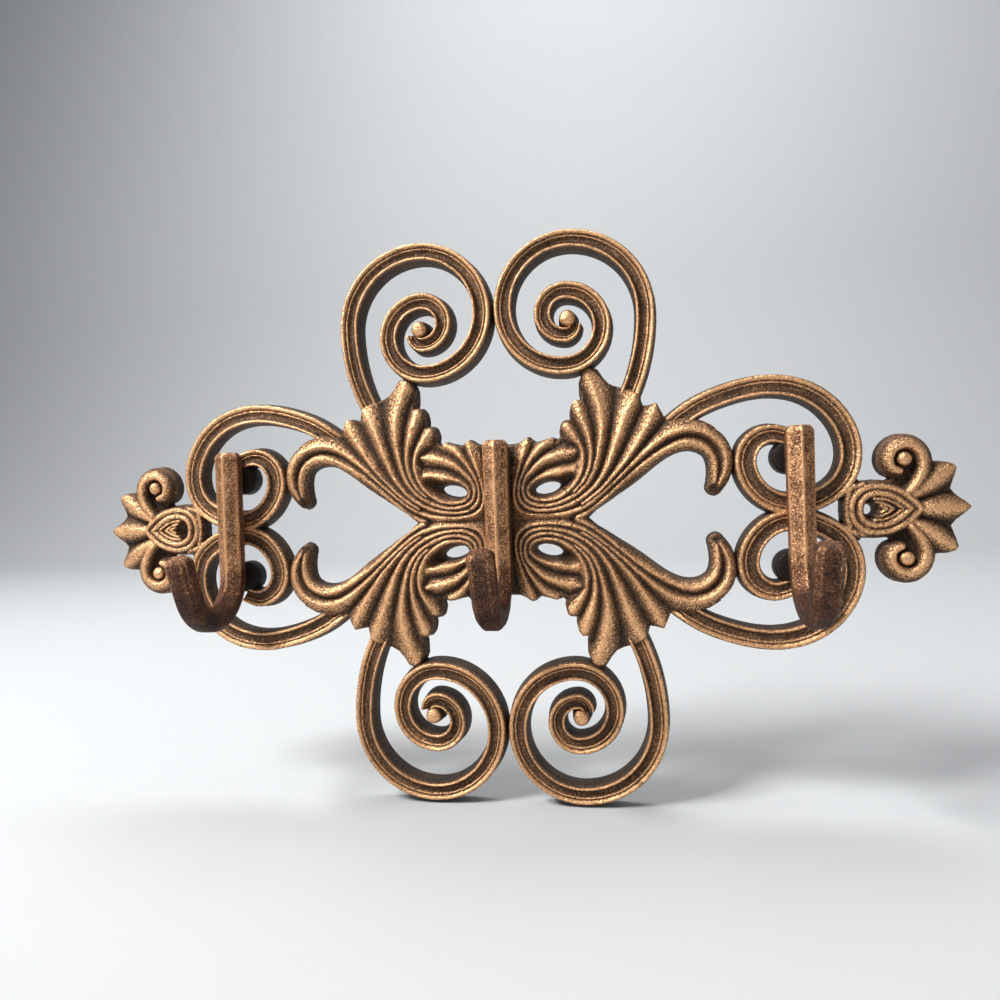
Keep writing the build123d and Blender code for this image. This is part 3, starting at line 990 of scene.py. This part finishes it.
    def solid(
        self, places: np.ndarray, faces: np.ndarray, height: np.ndarray, crest: np.ndarray, tools: Tools
    ) -> bpy.types.Object:
        """Add walls and a flat back to the relief.

        Args:
            places: Points in the plane of the rack.
            faces: Triangles of the front.
            height: Height of each point.
            crest: Crest value of each point.
            tools: Shared trees.

        Returns:
            The mesh object.
        """
        sides = np.vstack([faces[:, [0, 1]], faces[:, [1, 2]], faces[:, [2, 0]]])
        ordered = np.sort(sides, axis=1)
        _, first, count = np.unique(ordered, axis=0, return_index=True, return_counts=True)
        border = sides[first[count == 1]]
        seam = np.zeros(len(border), bool)
        for axis, reach in ((0, self.low[0]), (1, self.low[1])):
            if abs(reach) < SEAM:
                seam |= (np.abs(places[border][:, :, axis]) < SEAM).all(1)
        walls = border[~seam]
        outward = np.zeros_like(places)
        run = places[walls[:, 1]] - places[walls[:, 0]]
        normal = np.column_stack([run[:, 1], -run[:, 0]])
        normal /= np.maximum(np.hypot(*normal.T), 1e-9)[:, None]
        for end in (0, 1):
            np.add.at(outward, walls[:, end], normal)
        outward /= np.maximum(np.hypot(*outward.T), 1e-9)[:, None]
        rim = np.unique(border)
        vertices = [np.column_stack([places[:, 0], -height, places[:, 1]])]
        values = [crest]
        rows = [np.arange(len(places))]
        total = len(places)
        for share, rise, value in self.levels:
            moved = places[rim] + outward[rim] * self.draft * share
            for axis in (0, 1):
                moved[np.abs(places[rim, axis]) < SEAM, axis] = 0.0
            wall_height = np.maximum(height[rim] * rise, self.lift)
            vertices.append(np.column_stack([moved[:, 0], -wall_height, moved[:, 1]]))
            values.append(np.full(len(rim), value))
            lookup = np.full(len(places), -1)
            lookup[rim] = total + np.arange(len(rim))
            rows.append(lookup)
            total += len(rim)
        polygons = [tuple(f) for f in faces]
        for upper, lower in zip(rows, rows[1:]):
            polygons += [(upper[b], upper[a], lower[a], lower[b]) for a, b in walls]
        lookup = rows[-1]
        back = [Vector(v) for v in np.vstack(vertices)[lookup[rim]][:, [0, 2]]]
        order = {int(v): i for i, v in enumerate(rim)}
        lines = [(order[int(a)], order[int(b)]) for a, b in border]
        spots, _, filled, *_ = geometry.delaunay_2d_cdt(back, lines, [], 1, 1e-6)
        nearest = {}
        keys = np.array([tuple(v) for v in back])
        middle = self.fields(np.array([np.mean([spots[i][:] for i in f], axis=0) for f in filled]))[2]
        for f, value in zip(filled, middle):
            if value < -0.6 * self.draft:
                continue
            corner = []
            for i in f:
                if i not in nearest:
                    gap = ((keys - np.array(spots[i][:])) ** 2).sum(1)
                    nearest[i] = int(lookup[rim[int(np.argmin(gap))]])
                corner.append(nearest[i])
            if len(set(corner)) == 3:
                polygons.append(tuple(reversed(corner)))
        made = mesh_object(self.name, np.vstack(vertices) * MM, polygons)
        add_values(made, "crest", np.concatenate(values))
        made.data.materials.append(tools.casting)
        return made


@dataclass
class LeafQuarter(Part):
    """Acanthus leaf whose ridges flow round the oval opening, with its curled edge, for one quarter."""

    cell: float = 0.59
    strokes: tuple = (
        # round the opening and up to the third tip
        ((35.2, 21.8, 9.4), (28.0, 21.4, 9.8), (22.2, 19.9, 10.1), (16.6, 17.2, 10.2), (13.8, 13.6, 10.2),
         (15.4, 10.4, 10.2), (20.0, 9.0, 10.2), (26.0, 9.4, 10.2), (31.2, 12.0, 10.4), (35.6, 16.2, 10.6),
         (38.4, 21.6, 10.8), (39.4, 26.6, 10.8), (38.6, 32.0, 10.6), (35.8, 37.4, 10.2), (32.6, 42.0, 9.6)),
        # fourth tip
        ((34.6, 12.4, 10.2), (38.0, 15.4, 10.6), (41.2, 20.6, 10.9), (42.8, 26.0, 11.0), (43.0, 32.0, 10.9),
         (42.0, 38.0, 10.7), (40.0, 44.0, 10.4), (38.0, 50.0, 9.9), (37.2, 53.0, 9.4)),
        # second loop and the broad lobe
        ((36.0, 30.6, 9.4), (31.0, 29.8, 9.9), (24.6, 28.4, 10.2), (20.2, 26.4, 10.3), (15.8, 22.6, 10.3),
         (12.3, 18.6, 10.2), (11.2, 14.4, 10.2),
         (12.4, 9.8, 10.2), (17.0, 7.0, 10.2), (24.0, 6.5, 10.2), (31.0, 8.6, 10.4), (37.4, 12.4, 10.7),
         (42.2, 17.6, 11.0), (45.4, 25.0, 11.1), (47.2, 33.0, 11.1), (48.2, 40.0, 10.9), (48.0, 48.0, 10.5),
         (45.6, 57.0, 9.9), (42.8, 65.0, 9.0)),
        # third loop and the sixth tip
        ((25.2, 36.4, 8.4), (20.8, 33.6, 9.3), (17.6, 30.6, 9.8), (14.6, 26.8, 10.1), (11.8, 22.2, 10.1),
         (9.6, 16.4, 10.0),
         (9.8, 9.4, 10.0), (14.0, 5.4, 10.1), (22.0, 4.2, 10.2), (30.0, 5.6, 10.3), (38.0, 9.2, 10.5),
         (45.0, 15.0, 10.8), (50.2, 23.0, 11.0), (53.4, 31.0, 11.0), (56.4, 39.0, 10.8), (60.2, 48.0, 10.3),
         (63.6, 54.0, 9.4)),
        # seventh tip
        ((38.4, 6.6, 10.1), (46.4, 12.4, 10.6), (52.6, 18.6, 10.9), (58.2, 25.0, 10.9), (63.2, 32.0, 10.8),
         (67.6, 39.0, 10.5), (71.0, 45.6, 9.9), (72.6, 49.6, 9.2)),
        # outer loop and the fat ridge of the curl
        ((13.9, 36.8, 8.2), (12.4, 31.4, 9.2), (10.3, 26.2, 9.6), (8.6, 20.6, 9.6), (7.3, 14.8, 9.6),
         (7.2, 9.2, 9.6), (9.8, 4.4, 9.8), (15.0, 2.4, 10.0), (24.0, 1.9, 10.0),
         (32.0, 2.8, 10.0), (39.0, 5.2, 10.1), (47.0, 10.8, 10.3), (55.4, 18.0, 10.4), (63.0, 25.2, 10.4),
         (70.0, 31.2, 10.4), (77.0, 35.8, 10.3), (85.0, 38.2, 10.2), (93.0, 36.6, 10.1), (99.6, 31.4, 9.9),
         (101.9, 25.0, 9.7), (101.2, 18.6, 9.4), (98.6, 13.4, 8.8)),
        # inner ridge of the curl
        ((36.0, 0.6, 9.4), (41.0, 3.0, 9.5), (47.6, 7.8, 9.6), (56.0, 15.2, 9.7), (66.0, 23.2, 9.8),
         (75.0, 28.9, 9.9), (82.0, 31.9, 9.9), (88.4, 32.2, 9.8), (93.6, 29.6, 9.6), (96.8, 24.8, 9.4),
         (97.4, 19.4, 9.2), (96.8, 14.2, 8.7)),
    )
    flute_bounds: tuple = (
        (6.4, -3), (40, -3), (106, 12), (106, 45), (92, 58), (42, 74), (20, 56), (10, 40), (8.4, 34), (6.4, 24),
    )
    hollows: tuple = (
        (22.6, 14.8, 9.6, 5.4, 12.0, 3.0), (30.6, 17.6, 6.4, 3.4, 28.0, 2.8),
    )
    lobes: tuple = (
        (31.0, 33.5), (29.6, 36.5), (29.0, 40.5), (30.0, 44.0), (31.4, 44.9), (34.2, 45.0), (34.0, 48.0),
        (34.6, 51.5), (36.2, 53.6), (39.4, 53.9), (38.8, 58.0), (38.8, 62.5), (40.4, 66.4), (42.4, 68.4),
        (46.4, 67.6), (49.0, 63.4), (51.6, 60.6), (54.8, 59.2), (58.0, 58.3), (62.0, 57.0), (64.8, 55.4),
        (65.6, 52.4), (66.4, 49.6), (69.4, 49.8), (72.8, 50.6), (74.4, 47.0), (76.0, 43.6), (79.4, 42.6),
        (86.0, 43.6), (92.6, 41.6), (98.0, 38.4), (84.0, 34.0), (66.0, 27.6), (54.0, 17.4), (43.4, 8.0),
        (36.0, 16.4), (38.6, 24.0),
    )
    curl: tuple = (
        (30.0, 1.6, 4.4), (35.0, 3.0, 5.0), (43.0, 7.2, 6.2), (51.0, 13.4, 7.8),
        (60.0, 20.4, 9.4), (71.0, 29.4, 10.4), (81.5, 34.6, 11.2), (90.5, 34.6, 11.8),
        (97.4, 30.2, 11.6), (99.8, 22.6, 10.6), (98.6, 15.8, 8.6), (97.0, 12.2, 6.6),
    )
    ground: tuple = (
        (-1, -1), (38.5, -1), (47, 7), (62, 20), (76, 30), (84, 33), (88, 40), (76, 42), (70, 45),
        (66, 47), (62, 54), (56, 58), (48, 62), (42, 62), (40, 50), (36, 44), (31.5, 43), (30, 38),
        (28.6, 36.8), (27.0, 35.5), (26.4, 36.8), (25.0, 37.2), (21.4, 36.2), (17.4, 35.3), (15.4, 36.8),
        (14.0, 37.9), (12.4, 37.2), (10.6, 35.9), (8, 35.0), (-1, 34.6),
    )
    oval_middle: tuple[float, float] = (22.2, 14.5)
    oval_half: tuple[float, float] = (6.8, 3.3)
    oval_tilt: float = 12.0
    spine: tuple = ((0.0, -8.0, 5.6, 5.6, 8.7), (0.0, 15.0, 5.6, 5.6, 8.7), (0.0, 28.2, 5.6, 5.6, 8.7))

    def opening(self, points: np.ndarray) -> np.ndarray:
        """Edge distance of the oval opening."""
        along, across = tilted(points, self.oval_middle, self.oval_tilt)
        reach = np.hypot(along / self.oval_half[0], across / self.oval_half[1])
        return (reach - 1.0) * min(self.oval_half)

    def build(self, tools: Tools) -> bpy.types.Object:
        """Carve one quarter. The curl only widens the outline, so its rows have no height."""
        curl = [(x, z, width / 2, width / 2, 0.0) for x, z, width in smooth_rows(self.curl, COARSE_STEP)]
        ridges = [
            Flutes(self.strokes, self.flute_bounds), Ridge(curl, footprint=True),
            Ridge(self.spine, drop=0.9, power=5.0, footprint=True),
        ]
        return Relief(
            "leaf", (0.0, 0.0), (106.5, 72.0), self.cell, 6.2, ridges, (self.ground, self.lobes), self.opening,
            hollows=self.hollows,
        ).build(tools)


@dataclass
class EndPalmette(Part):
    """Upper half of the pointed ornament at one end."""

    cell: float = 0.54
    screw: tuple[float, float] = (161.0, 0.0)
    screw_radius: float = 2.6
    top: float = 9.0
    rings: tuple = (
        ((184.4, -3.4), (181.4, -0.4), (176.2, 5.2), (170.2, 8.7), (163.4, 9.9), (157.6, 8.3), (154.2, 4.4),
         (153.3, -0.8), (153.8, -4.4)),
        ((180.6, -3.6), (177.4, -0.4), (172.4, 3.9), (167.4, 6.4), (162.0, 6.7), (158.2, 4.5), (157.0, -0.8),
         (157.6, -4.4)),
    )
    drops: tuple = (
        ((174.8, -0.8), (171.0, 2.2), (166.8, 4.2), (162.6, 4.6)),
        ((171.4, -0.8), (168.2, 1.4), (165.4, 2.7), (163.4, 3.2)),
        ((168.4, -0.7), (166.6, 0.6), (165.0, 1.3)),
    )
    web: tuple = ((152.0, 5.0), (149.5, 6.0), (146.5, 8.0), (150.0, 13.0), (154.6, 16.0), (157.0, 12.6))
    web_ridge: tuple = ((158.0, 11.4, 8.6), (154.0, 9.6, 8.6), (150.6, 7.8, 8.4), (147.4, 6.6, 8.2))
    outline: tuple = (
        (150.1, -1), (150.4, 5), (154.6, 10.4), (158.6, 12.2), (164, 12.4), (169, 12.0), (172.4, 14),
        (179, 18), (185.6, 20.4), (188.2, 19.7), (191.8, 19.4), (194.8, 18.4), (196.2, 16.6), (195.4, 12.4),
        (193.8, 8.0), (196.0, 5.2), (199.0, 2.6), (201.45, 0.35), (201.45, -1.2),
    )
    snail: tuple = (
        (176.8, 7.6, 2.4, 2.4), (179.9, 11.8, 2.9, 3.5), (181.7, 16.4, 2.7, 4.5), (181.8, 21.3, 2.5, 4.8),
        (179.3, 25.4, 2.4, 4.9), (175.0, 27.0, 2.4, 4.9), (171.0, 25.2, 2.3, 4.7), (169.2, 21.3, 2.2, 4.5),
        (170.2, 17.9, 2.0, 4.0), (172.9, 16.4, 1.7, 2.8),
    )
    snail_middle: tuple[float, float] = (175.2, 20.7)
    snail_floor: float = 8.8
    strip: tuple = ((151.2, -1.4), (151.2, 1.6), (151.6, 4.4), (152.6, 7.4))
    petals: tuple = (
        ((176.8, 4.6, 2.8, 2.4, 7.6), (182.2, 8.2, 4.2, 4.0, 8.5), (188.8, 13.0, 5.6, 5.2, 8.4),
         (194.8, 17.6, 4.4, 4.2, 7.0)),
        ((179.0, 0.0, 2.4, 2.4, 7.8), (187.0, 0.0, 5.4, 5.4, 8.7), (194.0, 0.0, 6.0, 6.0, 8.2),
         (201.2, 0.0, 3.2, 3.2, 6.6)),
    )

    def opening(self, points: np.ndarray) -> np.ndarray:
        """Edge distance of the screw hole."""
        return np.hypot(*(points - np.array(self.screw)).T) - self.screw_radius

    def build(self, tools: Tools) -> bpy.types.Object:
        """Carve the upper half of one end."""
        top = self.top
        snail = [(*row, top + 0.9 + 0.04 * i) for i, row in enumerate(self.snail)]
        ridges = [
            *(Ridge([(x, z, 1.8, 2.0, top) for x, z in ring], 2.0, 2.2) for ring in self.rings),
            *(Ridge([(x, z, 0.95, 0.95, top - 0.4) for x, z in drop], 1.5, 1.8) for drop in self.drops),
            Ridge([(x, z, 1.8, 1.8, height) for x, z, height in self.web_ridge], 1.4, 2.2),
            Ridge([(x, z, 1.5, 1.5, top - 0.7) for x, z in self.strip], 1.2, 2.2),
            Ridge(snail, 3.6, 2.2, footprint=True),
            *(Ridge(petal, 2.8, 2.3) for petal in self.petals),
        ]
        (x, z), reach = self.snail_middle, self.snail_floor
        disc = [(x + reach * math.cos(a), z + reach * math.sin(a)) for a in np.linspace(0, math.tau, 25)[:-1]]
        return Relief(
            "palmette", (146.0, 0.0), (201.6, 33.0), self.cell, 5.2, ridges, (self.outline, disc, self.web),
            self.opening, draft=0.4, round_over=0.9,
        ).build(tools)


# radius, height and crest value of a knob, from its foot to its top; the low crest at the foot lays painted shade
# where the ball meets the coil
BALL_PROFILE = (
    (1.28, 0.0, 0.0), (1.12, 0.55, 0.1), (1.02, 0.74, 0.3), (0.99, 0.82, 0.55), (0.88, 0.90, 0.75),
    (0.68, 0.955, 0.95), (0.40, 0.99, 1.0), (0.0, 1.0, 1.0),
)
# crest values under zero give the pads the near-black recess colour: they carry no copper rub, and painted shade of
# the hook bars over them darkens them further
PAD_PROFILE_IN_PAINTED_SHADE = (
    (1.04, 0.0, -0.5), (1.01, 0.80, -0.5), (0.97, 0.90, -0.3), (0.91, 0.965, -0.2), (0.82, 0.99, -0.3),
    (0.5, 1.0, -0.4), (0.0, 1.0, -0.4),
)


@dataclass
class Knobs(Part):
    """Balls at the hearts of the coils. Each row is x, z, radius and height."""

    rows: Sequence[tuple[float, float, float, float]]
    turns: int = 28
    profile: tuple = BALL_PROFILE
    lift: float = 0.12

    def build(self, tools: Tools) -> bpy.types.Object:
        """Set the balls on their points."""
        rings, turns = self.profile[:-1], range(self.turns)
        angles = [math.tau * turn / self.turns for turn in turns]
        vertices = [(r * math.cos(a), -rise, r * math.sin(a)) for r, rise, _ in rings for a in angles]
        values = [value for *_, value in rings for _ in turns]
        top, foot, last = len(vertices), len(vertices) + 1, (len(rings) - 1) * self.turns
        pairs = [(turn, (turn + 1) % self.turns) for turn in turns]
        faces = [
            (low + turn, low + after, low + self.turns + after, low + self.turns + turn)
            for low in range(0, last, self.turns) for turn, after in pairs
        ]
        for turn, after in pairs:
            faces += [(last + turn, last + after, top), (after, turn, foot)]
        vertices += [(0.0, -1.0, 0.0), (0.0, 0.0, 0.0)]
        shape = smooth_shaded(mesh_object("knob_shape", np.array(vertices), faces))
        add_values(shape, "crest", np.array([*values, self.profile[-1][2], 0.0]))
        table = np.array(self.rows, float)
        points = mesh_object("knobs", flat_path(table[:, :2], self.lift), [])
        add_values(points, "size", table[:, [2, 3, 2]] * MM)
        made = run_nodes(points, tools.seeds, {"Shape": shape, "Finish": tools.casting})
        bpy.data.objects.remove(shape)
        return made


@dataclass
class Casting(Part):
    """The whole scrolled plate, cast as one. Balls and pads are x, z, radius and height."""

    volute: Volute
    side_scroll: SideScroll
    leaf: LeafQuarter
    palmette: EndPalmette
    eye_ball: tuple[float, float] = (3.7, 12.8)
    end_ball: tuple[float, ...] = (174.8, 21.2, 3.1, 10.2)
    pad: tuple[float, ...] = (128.6, 24.0, 7.3, 8.6)

    def build(self, tools: Tools) -> bpy.types.Object:
        """Build and join every part of the casting."""
        pieces = [join_pieces("leaf_sheet", mirrored(self.leaf.build(tools), True, True), WELD)]
        for half in mirrored(self.palmette.build(tools), True, False):
            pieces.append(join_pieces("end_sheet", mirrored(half, False, True), WELD))
        knobs = Knobs([(*self.volute.eye(), *self.eye_ball), self.end_ball])
        for part in (self.volute, self.side_scroll, knobs, Knobs([self.pad], profile=PAD_PROFILE_IN_PAINTED_SHADE)):
            pieces += mirrored(part.build(tools), True, True)
        return join_pieces("rack_casting_body", pieces)

    def dress(self, piece: bpy.types.Object, tools: Tools) -> None:
        """Give the casting its finish and its place in the frame.

        Args:
            piece: The casting.
            tools: Shared materials.
        """
        piece.data.materials.clear()
        piece.data.materials.append(tools.casting)
        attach(piece, "root")
        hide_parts("scroll_plate")


@dataclass
class Hook(Part):
    """One J hook of faceted bar with bevelled ends."""

    node: str
    x: float
    width: float = 11.4
    thickness: float = 11.4
    ridge: float = 3.2
    top: float = 37.0
    seat: float = 8.7
    bend_height: float = -21.3
    bend_radius: float = 19.0
    bend_angle: float = 158.0
    lip: float = 20.0
    bevel: float = 2.2
    waist: float = 0.94
    tenon_height: float = 23.5
    tenon_half: float = 2.0
    head_half: float = 2.8
    head_depth: float = 1.6
    tenon_crest: float = 0.2

    def path(self) -> tuple[np.ndarray, np.ndarray]:
        """Middle line of the bar.

        Returns:
            Points in millimetres, and the size of the section at each, from 0 to 1.
        """
        centre = self.seat + self.thickness / 2
        rows = [(-centre, self.top, 0.70), (-centre, self.top - 0.9, 0.86), (-centre, self.top - self.bevel, 1.0)]
        shank = np.linspace(self.top - self.bevel - 1.0, self.bend_height, 24)[:-1]
        rows += [(-centre, z, 1.0) for z in shank]
        angles = np.radians(np.linspace(0.0, self.bend_angle, 40))
        rows += [
            (-centre - self.bend_radius * (1 - math.cos(a)), self.bend_height - self.bend_radius * math.sin(a), 1.0)
            for a in angles
        ]
        (y, z, _), turn = rows[-1], angles[-1]
        steps = [(step, 1.0) for step in (3.0, 6.0, 9.0, 12.0, 15.0, self.lip - self.bevel)]
        steps += [(self.lip - 0.9, 0.88), (self.lip - 0.2, 0.72), (self.lip, 0.62)]
        rows += [(y - math.sin(turn) * step, z - math.cos(turn) * step, scale) for step, scale in steps]
        table = np.array(rows)
        return np.column_stack([np.full(len(table), self.x), table[:, :2]]), table[:, 2]

    def section(self) -> list[tuple[float, float, float]]:
        """Corners of the bar's section: out to the front, sideways, and crest value."""
        half, deep = self.width / 2, self.thickness / 2
        shoulder = deep - self.ridge
        right = [
            (deep, 0.0, 1.0), (deep - 0.12, 0.35, 0.9), (deep - 0.55, 1.0, 0.6), (deep - 1.9, half * 0.6, 0.5),
            (shoulder + 0.45, half - 0.8, 0.6), (shoulder - 0.05, half - 0.22, 0.9), (shoulder - 0.6, half, 0.8),
            (shoulder - 1.6, half, 0.4), (0.0, half, 0.3), (-deep + 3.1, half, 0.4), (-deep + 2.3, half - 0.3, 0.8),
            (-deep + 1.2, half - 1.3, 0.5), (-deep + 0.35, half - 2.2, 0.8), (-deep, half - 3.0, 0.4),
        ]
        left = [(a, -b, c) for a, b, c in reversed(right[1:])]
        return [*right, (-deep, 0.0, 0.3), *left]

    def build(self, tools: Tools) -> bpy.types.Object:
        """Sweep the bar and add its tenons. The crest value, and with it the copper colour, falls off down the bend
        and on the lip, which come out darker.
        """
        points, scale = self.path()
        run = np.concatenate([[0], np.cumsum(np.linalg.norm(np.diff(points, axis=0), axis=1))])
        narrow = np.interp(run / run[-1], (0.0, 0.35, 0.75, 1.0), (1.0, self.waist, self.waist, 0.98))
        sizes = in_metres(scale, scale * narrow, 0.0)
        crest_kept_on_bend_and_lip = np.interp(points[:, 2], (self.bend_height - 16, self.bend_height + 4), (0.25, 1.0))
        crest_kept_on_bend_and_lip[points[:, 1] < -self.seat - self.thickness - 6.0] *= 0.6
        bar = sweep(
            self.node + "_bar", points * MM, sizes, self.section(), SIDEWAYS, tools, tools.hook, crest_kept_on_bend_and_lip
        )
        tenons = [self.tenon(z) for z in (self.tenon_height, -self.tenon_height)]
        return join_pieces(self.node + "_visual", [bar, *tenons])

    def tenon(self, z: float) -> bpy.types.Object:
        """Square tenon with a head set over at the back."""
        rings = ((0.0, self.head_half), (-self.head_depth, self.tenon_half), (-self.seat - 0.6, self.tenon_half))
        vertices = [
            (self.x + sx * half, y, z + sz * half)
            for y, half in rings for sx, sz in ((-1, -1), (1, -1), (1, 1), (-1, 1))
        ]
        faces = [(0, 1, 2, 3), (11, 10, 9, 8)]
        for level in (0, 4):
            for i, j in ((0, 1), (1, 2), (2, 3), (3, 0)):
                faces.append((level + i, level + 4 + i, level + 4 + j, level + j))
        made = mesh_object(self.node + "_tenon", np.array(vertices) * MM, faces)
        add_values(made, "crest", np.full(len(vertices), self.tenon_crest))
        return made

    def dress(self, piece: bpy.types.Object, tools: Tools) -> None:
        """Give the hook its finish and its place in the frame."""
        piece.data.materials.clear()
        piece.data.materials.append(tools.hook)
        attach(piece, "root")
        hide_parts(self.node)


# --- Stage ---

@dataclass
class Studio:
    """Pale sweep, soft lamps and the camera."""

    focal: float = 27.0
    eye: tuple[float, float, float] = (58.7, -350.8, 14.4)
    pitch: float = 0.01397
    yaw: float = 0.16868
    roll: float = -0.03478
    depth: float = 1.2
    curve: float = 0.8
    lamp_rows: tuple = (
        # name, place, point that it faces, size, power
        ("key", (-0.95, -0.70, 1.25), (0.0, 0.0, 0.0), 0.55, 44.0),
        ("fill", (1.2, -1.2, 0.3), (0.0, 0.0, 0.0), 1.4, 1.6),
        ("top", (0.0, 0.3, 1.6), (0.0, 0.0, 0.0), 1.2, 7.0),
        ("backdrop", (0.0, 0.7, 2.0), (0.0, 2.0, 0.9), 1.6, 32.0),
    )

    def camera(self) -> None:
        """Make the camera at the viewing angle of the object."""
        cx, sx = math.cos(self.pitch), math.sin(self.pitch)
        cy, sy = math.cos(self.yaw), math.sin(self.yaw)
        cz, sz = math.cos(self.roll), math.sin(self.roll)
        about_x = np.array([[1, 0, 0], [0, cx, -sx], [0, sx, cx]])
        about_y = np.array([[cy, 0, sy], [0, 1, 0], [-sy, 0, cy]])
        about_z = np.array([[cz, -sz, 0], [sz, cz, 0], [0, 0, 1]])
        look = about_z @ about_y @ about_x @ np.array([[1, 0, 0], [0, 0, -1], [0, 1, 0]])
        basis = np.column_stack([look[0], -look[1], -look[2]])
        data = bpy.data.cameras.new("camera")
        data.sensor_width = 36.0
        data.lens = self.focal
        data.clip_start = 0.01
        made = linked("camera", data)
        place = Matrix(basis.tolist()).to_4x4()
        place.translation = Vector(self.eye) * MM
        made.matrix_world = place
        bpy.context.scene.camera = made

    def sweep(self, floor: float) -> bpy.types.Object:
        """Pale floor that curves up far behind the object.

        Args:
            floor: Height of the floor.

        Returns:
            The stage object.
        """
        line = [(-2.5, 0.0), (self.depth, 0.0)]
        for angle in np.radians(np.linspace(0, 90, 13)[1:]):
            line.append((self.depth + self.curve * math.sin(angle), self.curve * (1 - math.cos(angle))))
        line.append((self.depth + self.curve, 3.0))
        vertices = [(x, y, floor + z) for y, z in line for x in (-4.0, 4.0)]
        faces = [(2 * i, 2 * i + 1, 2 * i + 3, 2 * i + 2) for i in range(len(line) - 1)]
        made = smooth_shaded(mesh_object("stage_sweep", np.array(vertices), faces))
        made.data.materials.append(PlainPaint("pale_paint", (0.50, 0.51, 0.515)).build())
        made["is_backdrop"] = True
        return made

    def lamps(self) -> None:
        """Soft lamps and a pale world."""
        for name, place, goal, size, power in self.lamp_rows:
            data = bpy.data.lights.new(name, "AREA")
            data.energy = power
            data.size = size
            made = linked(name, data)
            made.location = place
            made.rotation_mode = "QUATERNION"
            made.rotation_quaternion = (Vector(goal) - Vector(place)).to_track_quat("-Z", "Y")
        world = bpy.data.worlds.new("world")
        world.use_nodes = True
        sky = world.node_tree.nodes["Background"]
        sky.inputs["Color"].default_value = (0.80, 0.84, 0.90, 1)
        sky.inputs["Strength"].default_value = 0.26
        bpy.context.scene.world = world


def main() -> None:
    """Build the rack, set the stage and report each piece."""
    logging.basicConfig(level=logging.INFO, format="%(name)s: %(message)s")
    cad_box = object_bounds()
    noise.seed_set(NOISE_SEED)
    bpy.context.scene.view_settings.view_transform = "Standard"
    grain, rub = grain_group(), rub_and_shade_group()
    tools = Tools(
        sweep_tree(), seed_tree(), Finish.CASTING.value.build(grain, rub), Finish.HOOK.value.build(grain, rub)
    )
    assemblies: list[Casting | Hook] = [Casting(Volute(), SideScroll(), LeafQuarter(), EndPalmette())]
    for node, x in (("hook_left", -131.5), ("hook_centre", 0.0), ("hook_right", 131.5)):
        assemblies.append(Hook(node, x))
    for assembly in assemblies:
        piece = assembly.build(tools)
        roughen(piece, cad_box)
        assembly.dress(piece, tools)
        log.info("%s: %d faces", piece.name, len(piece.data.polygons))
    studio = Studio()
    studio.sweep(cad_box[0].z)
    studio.lamps()
    studio.camera()


if __name__ == "__main__":
    main()
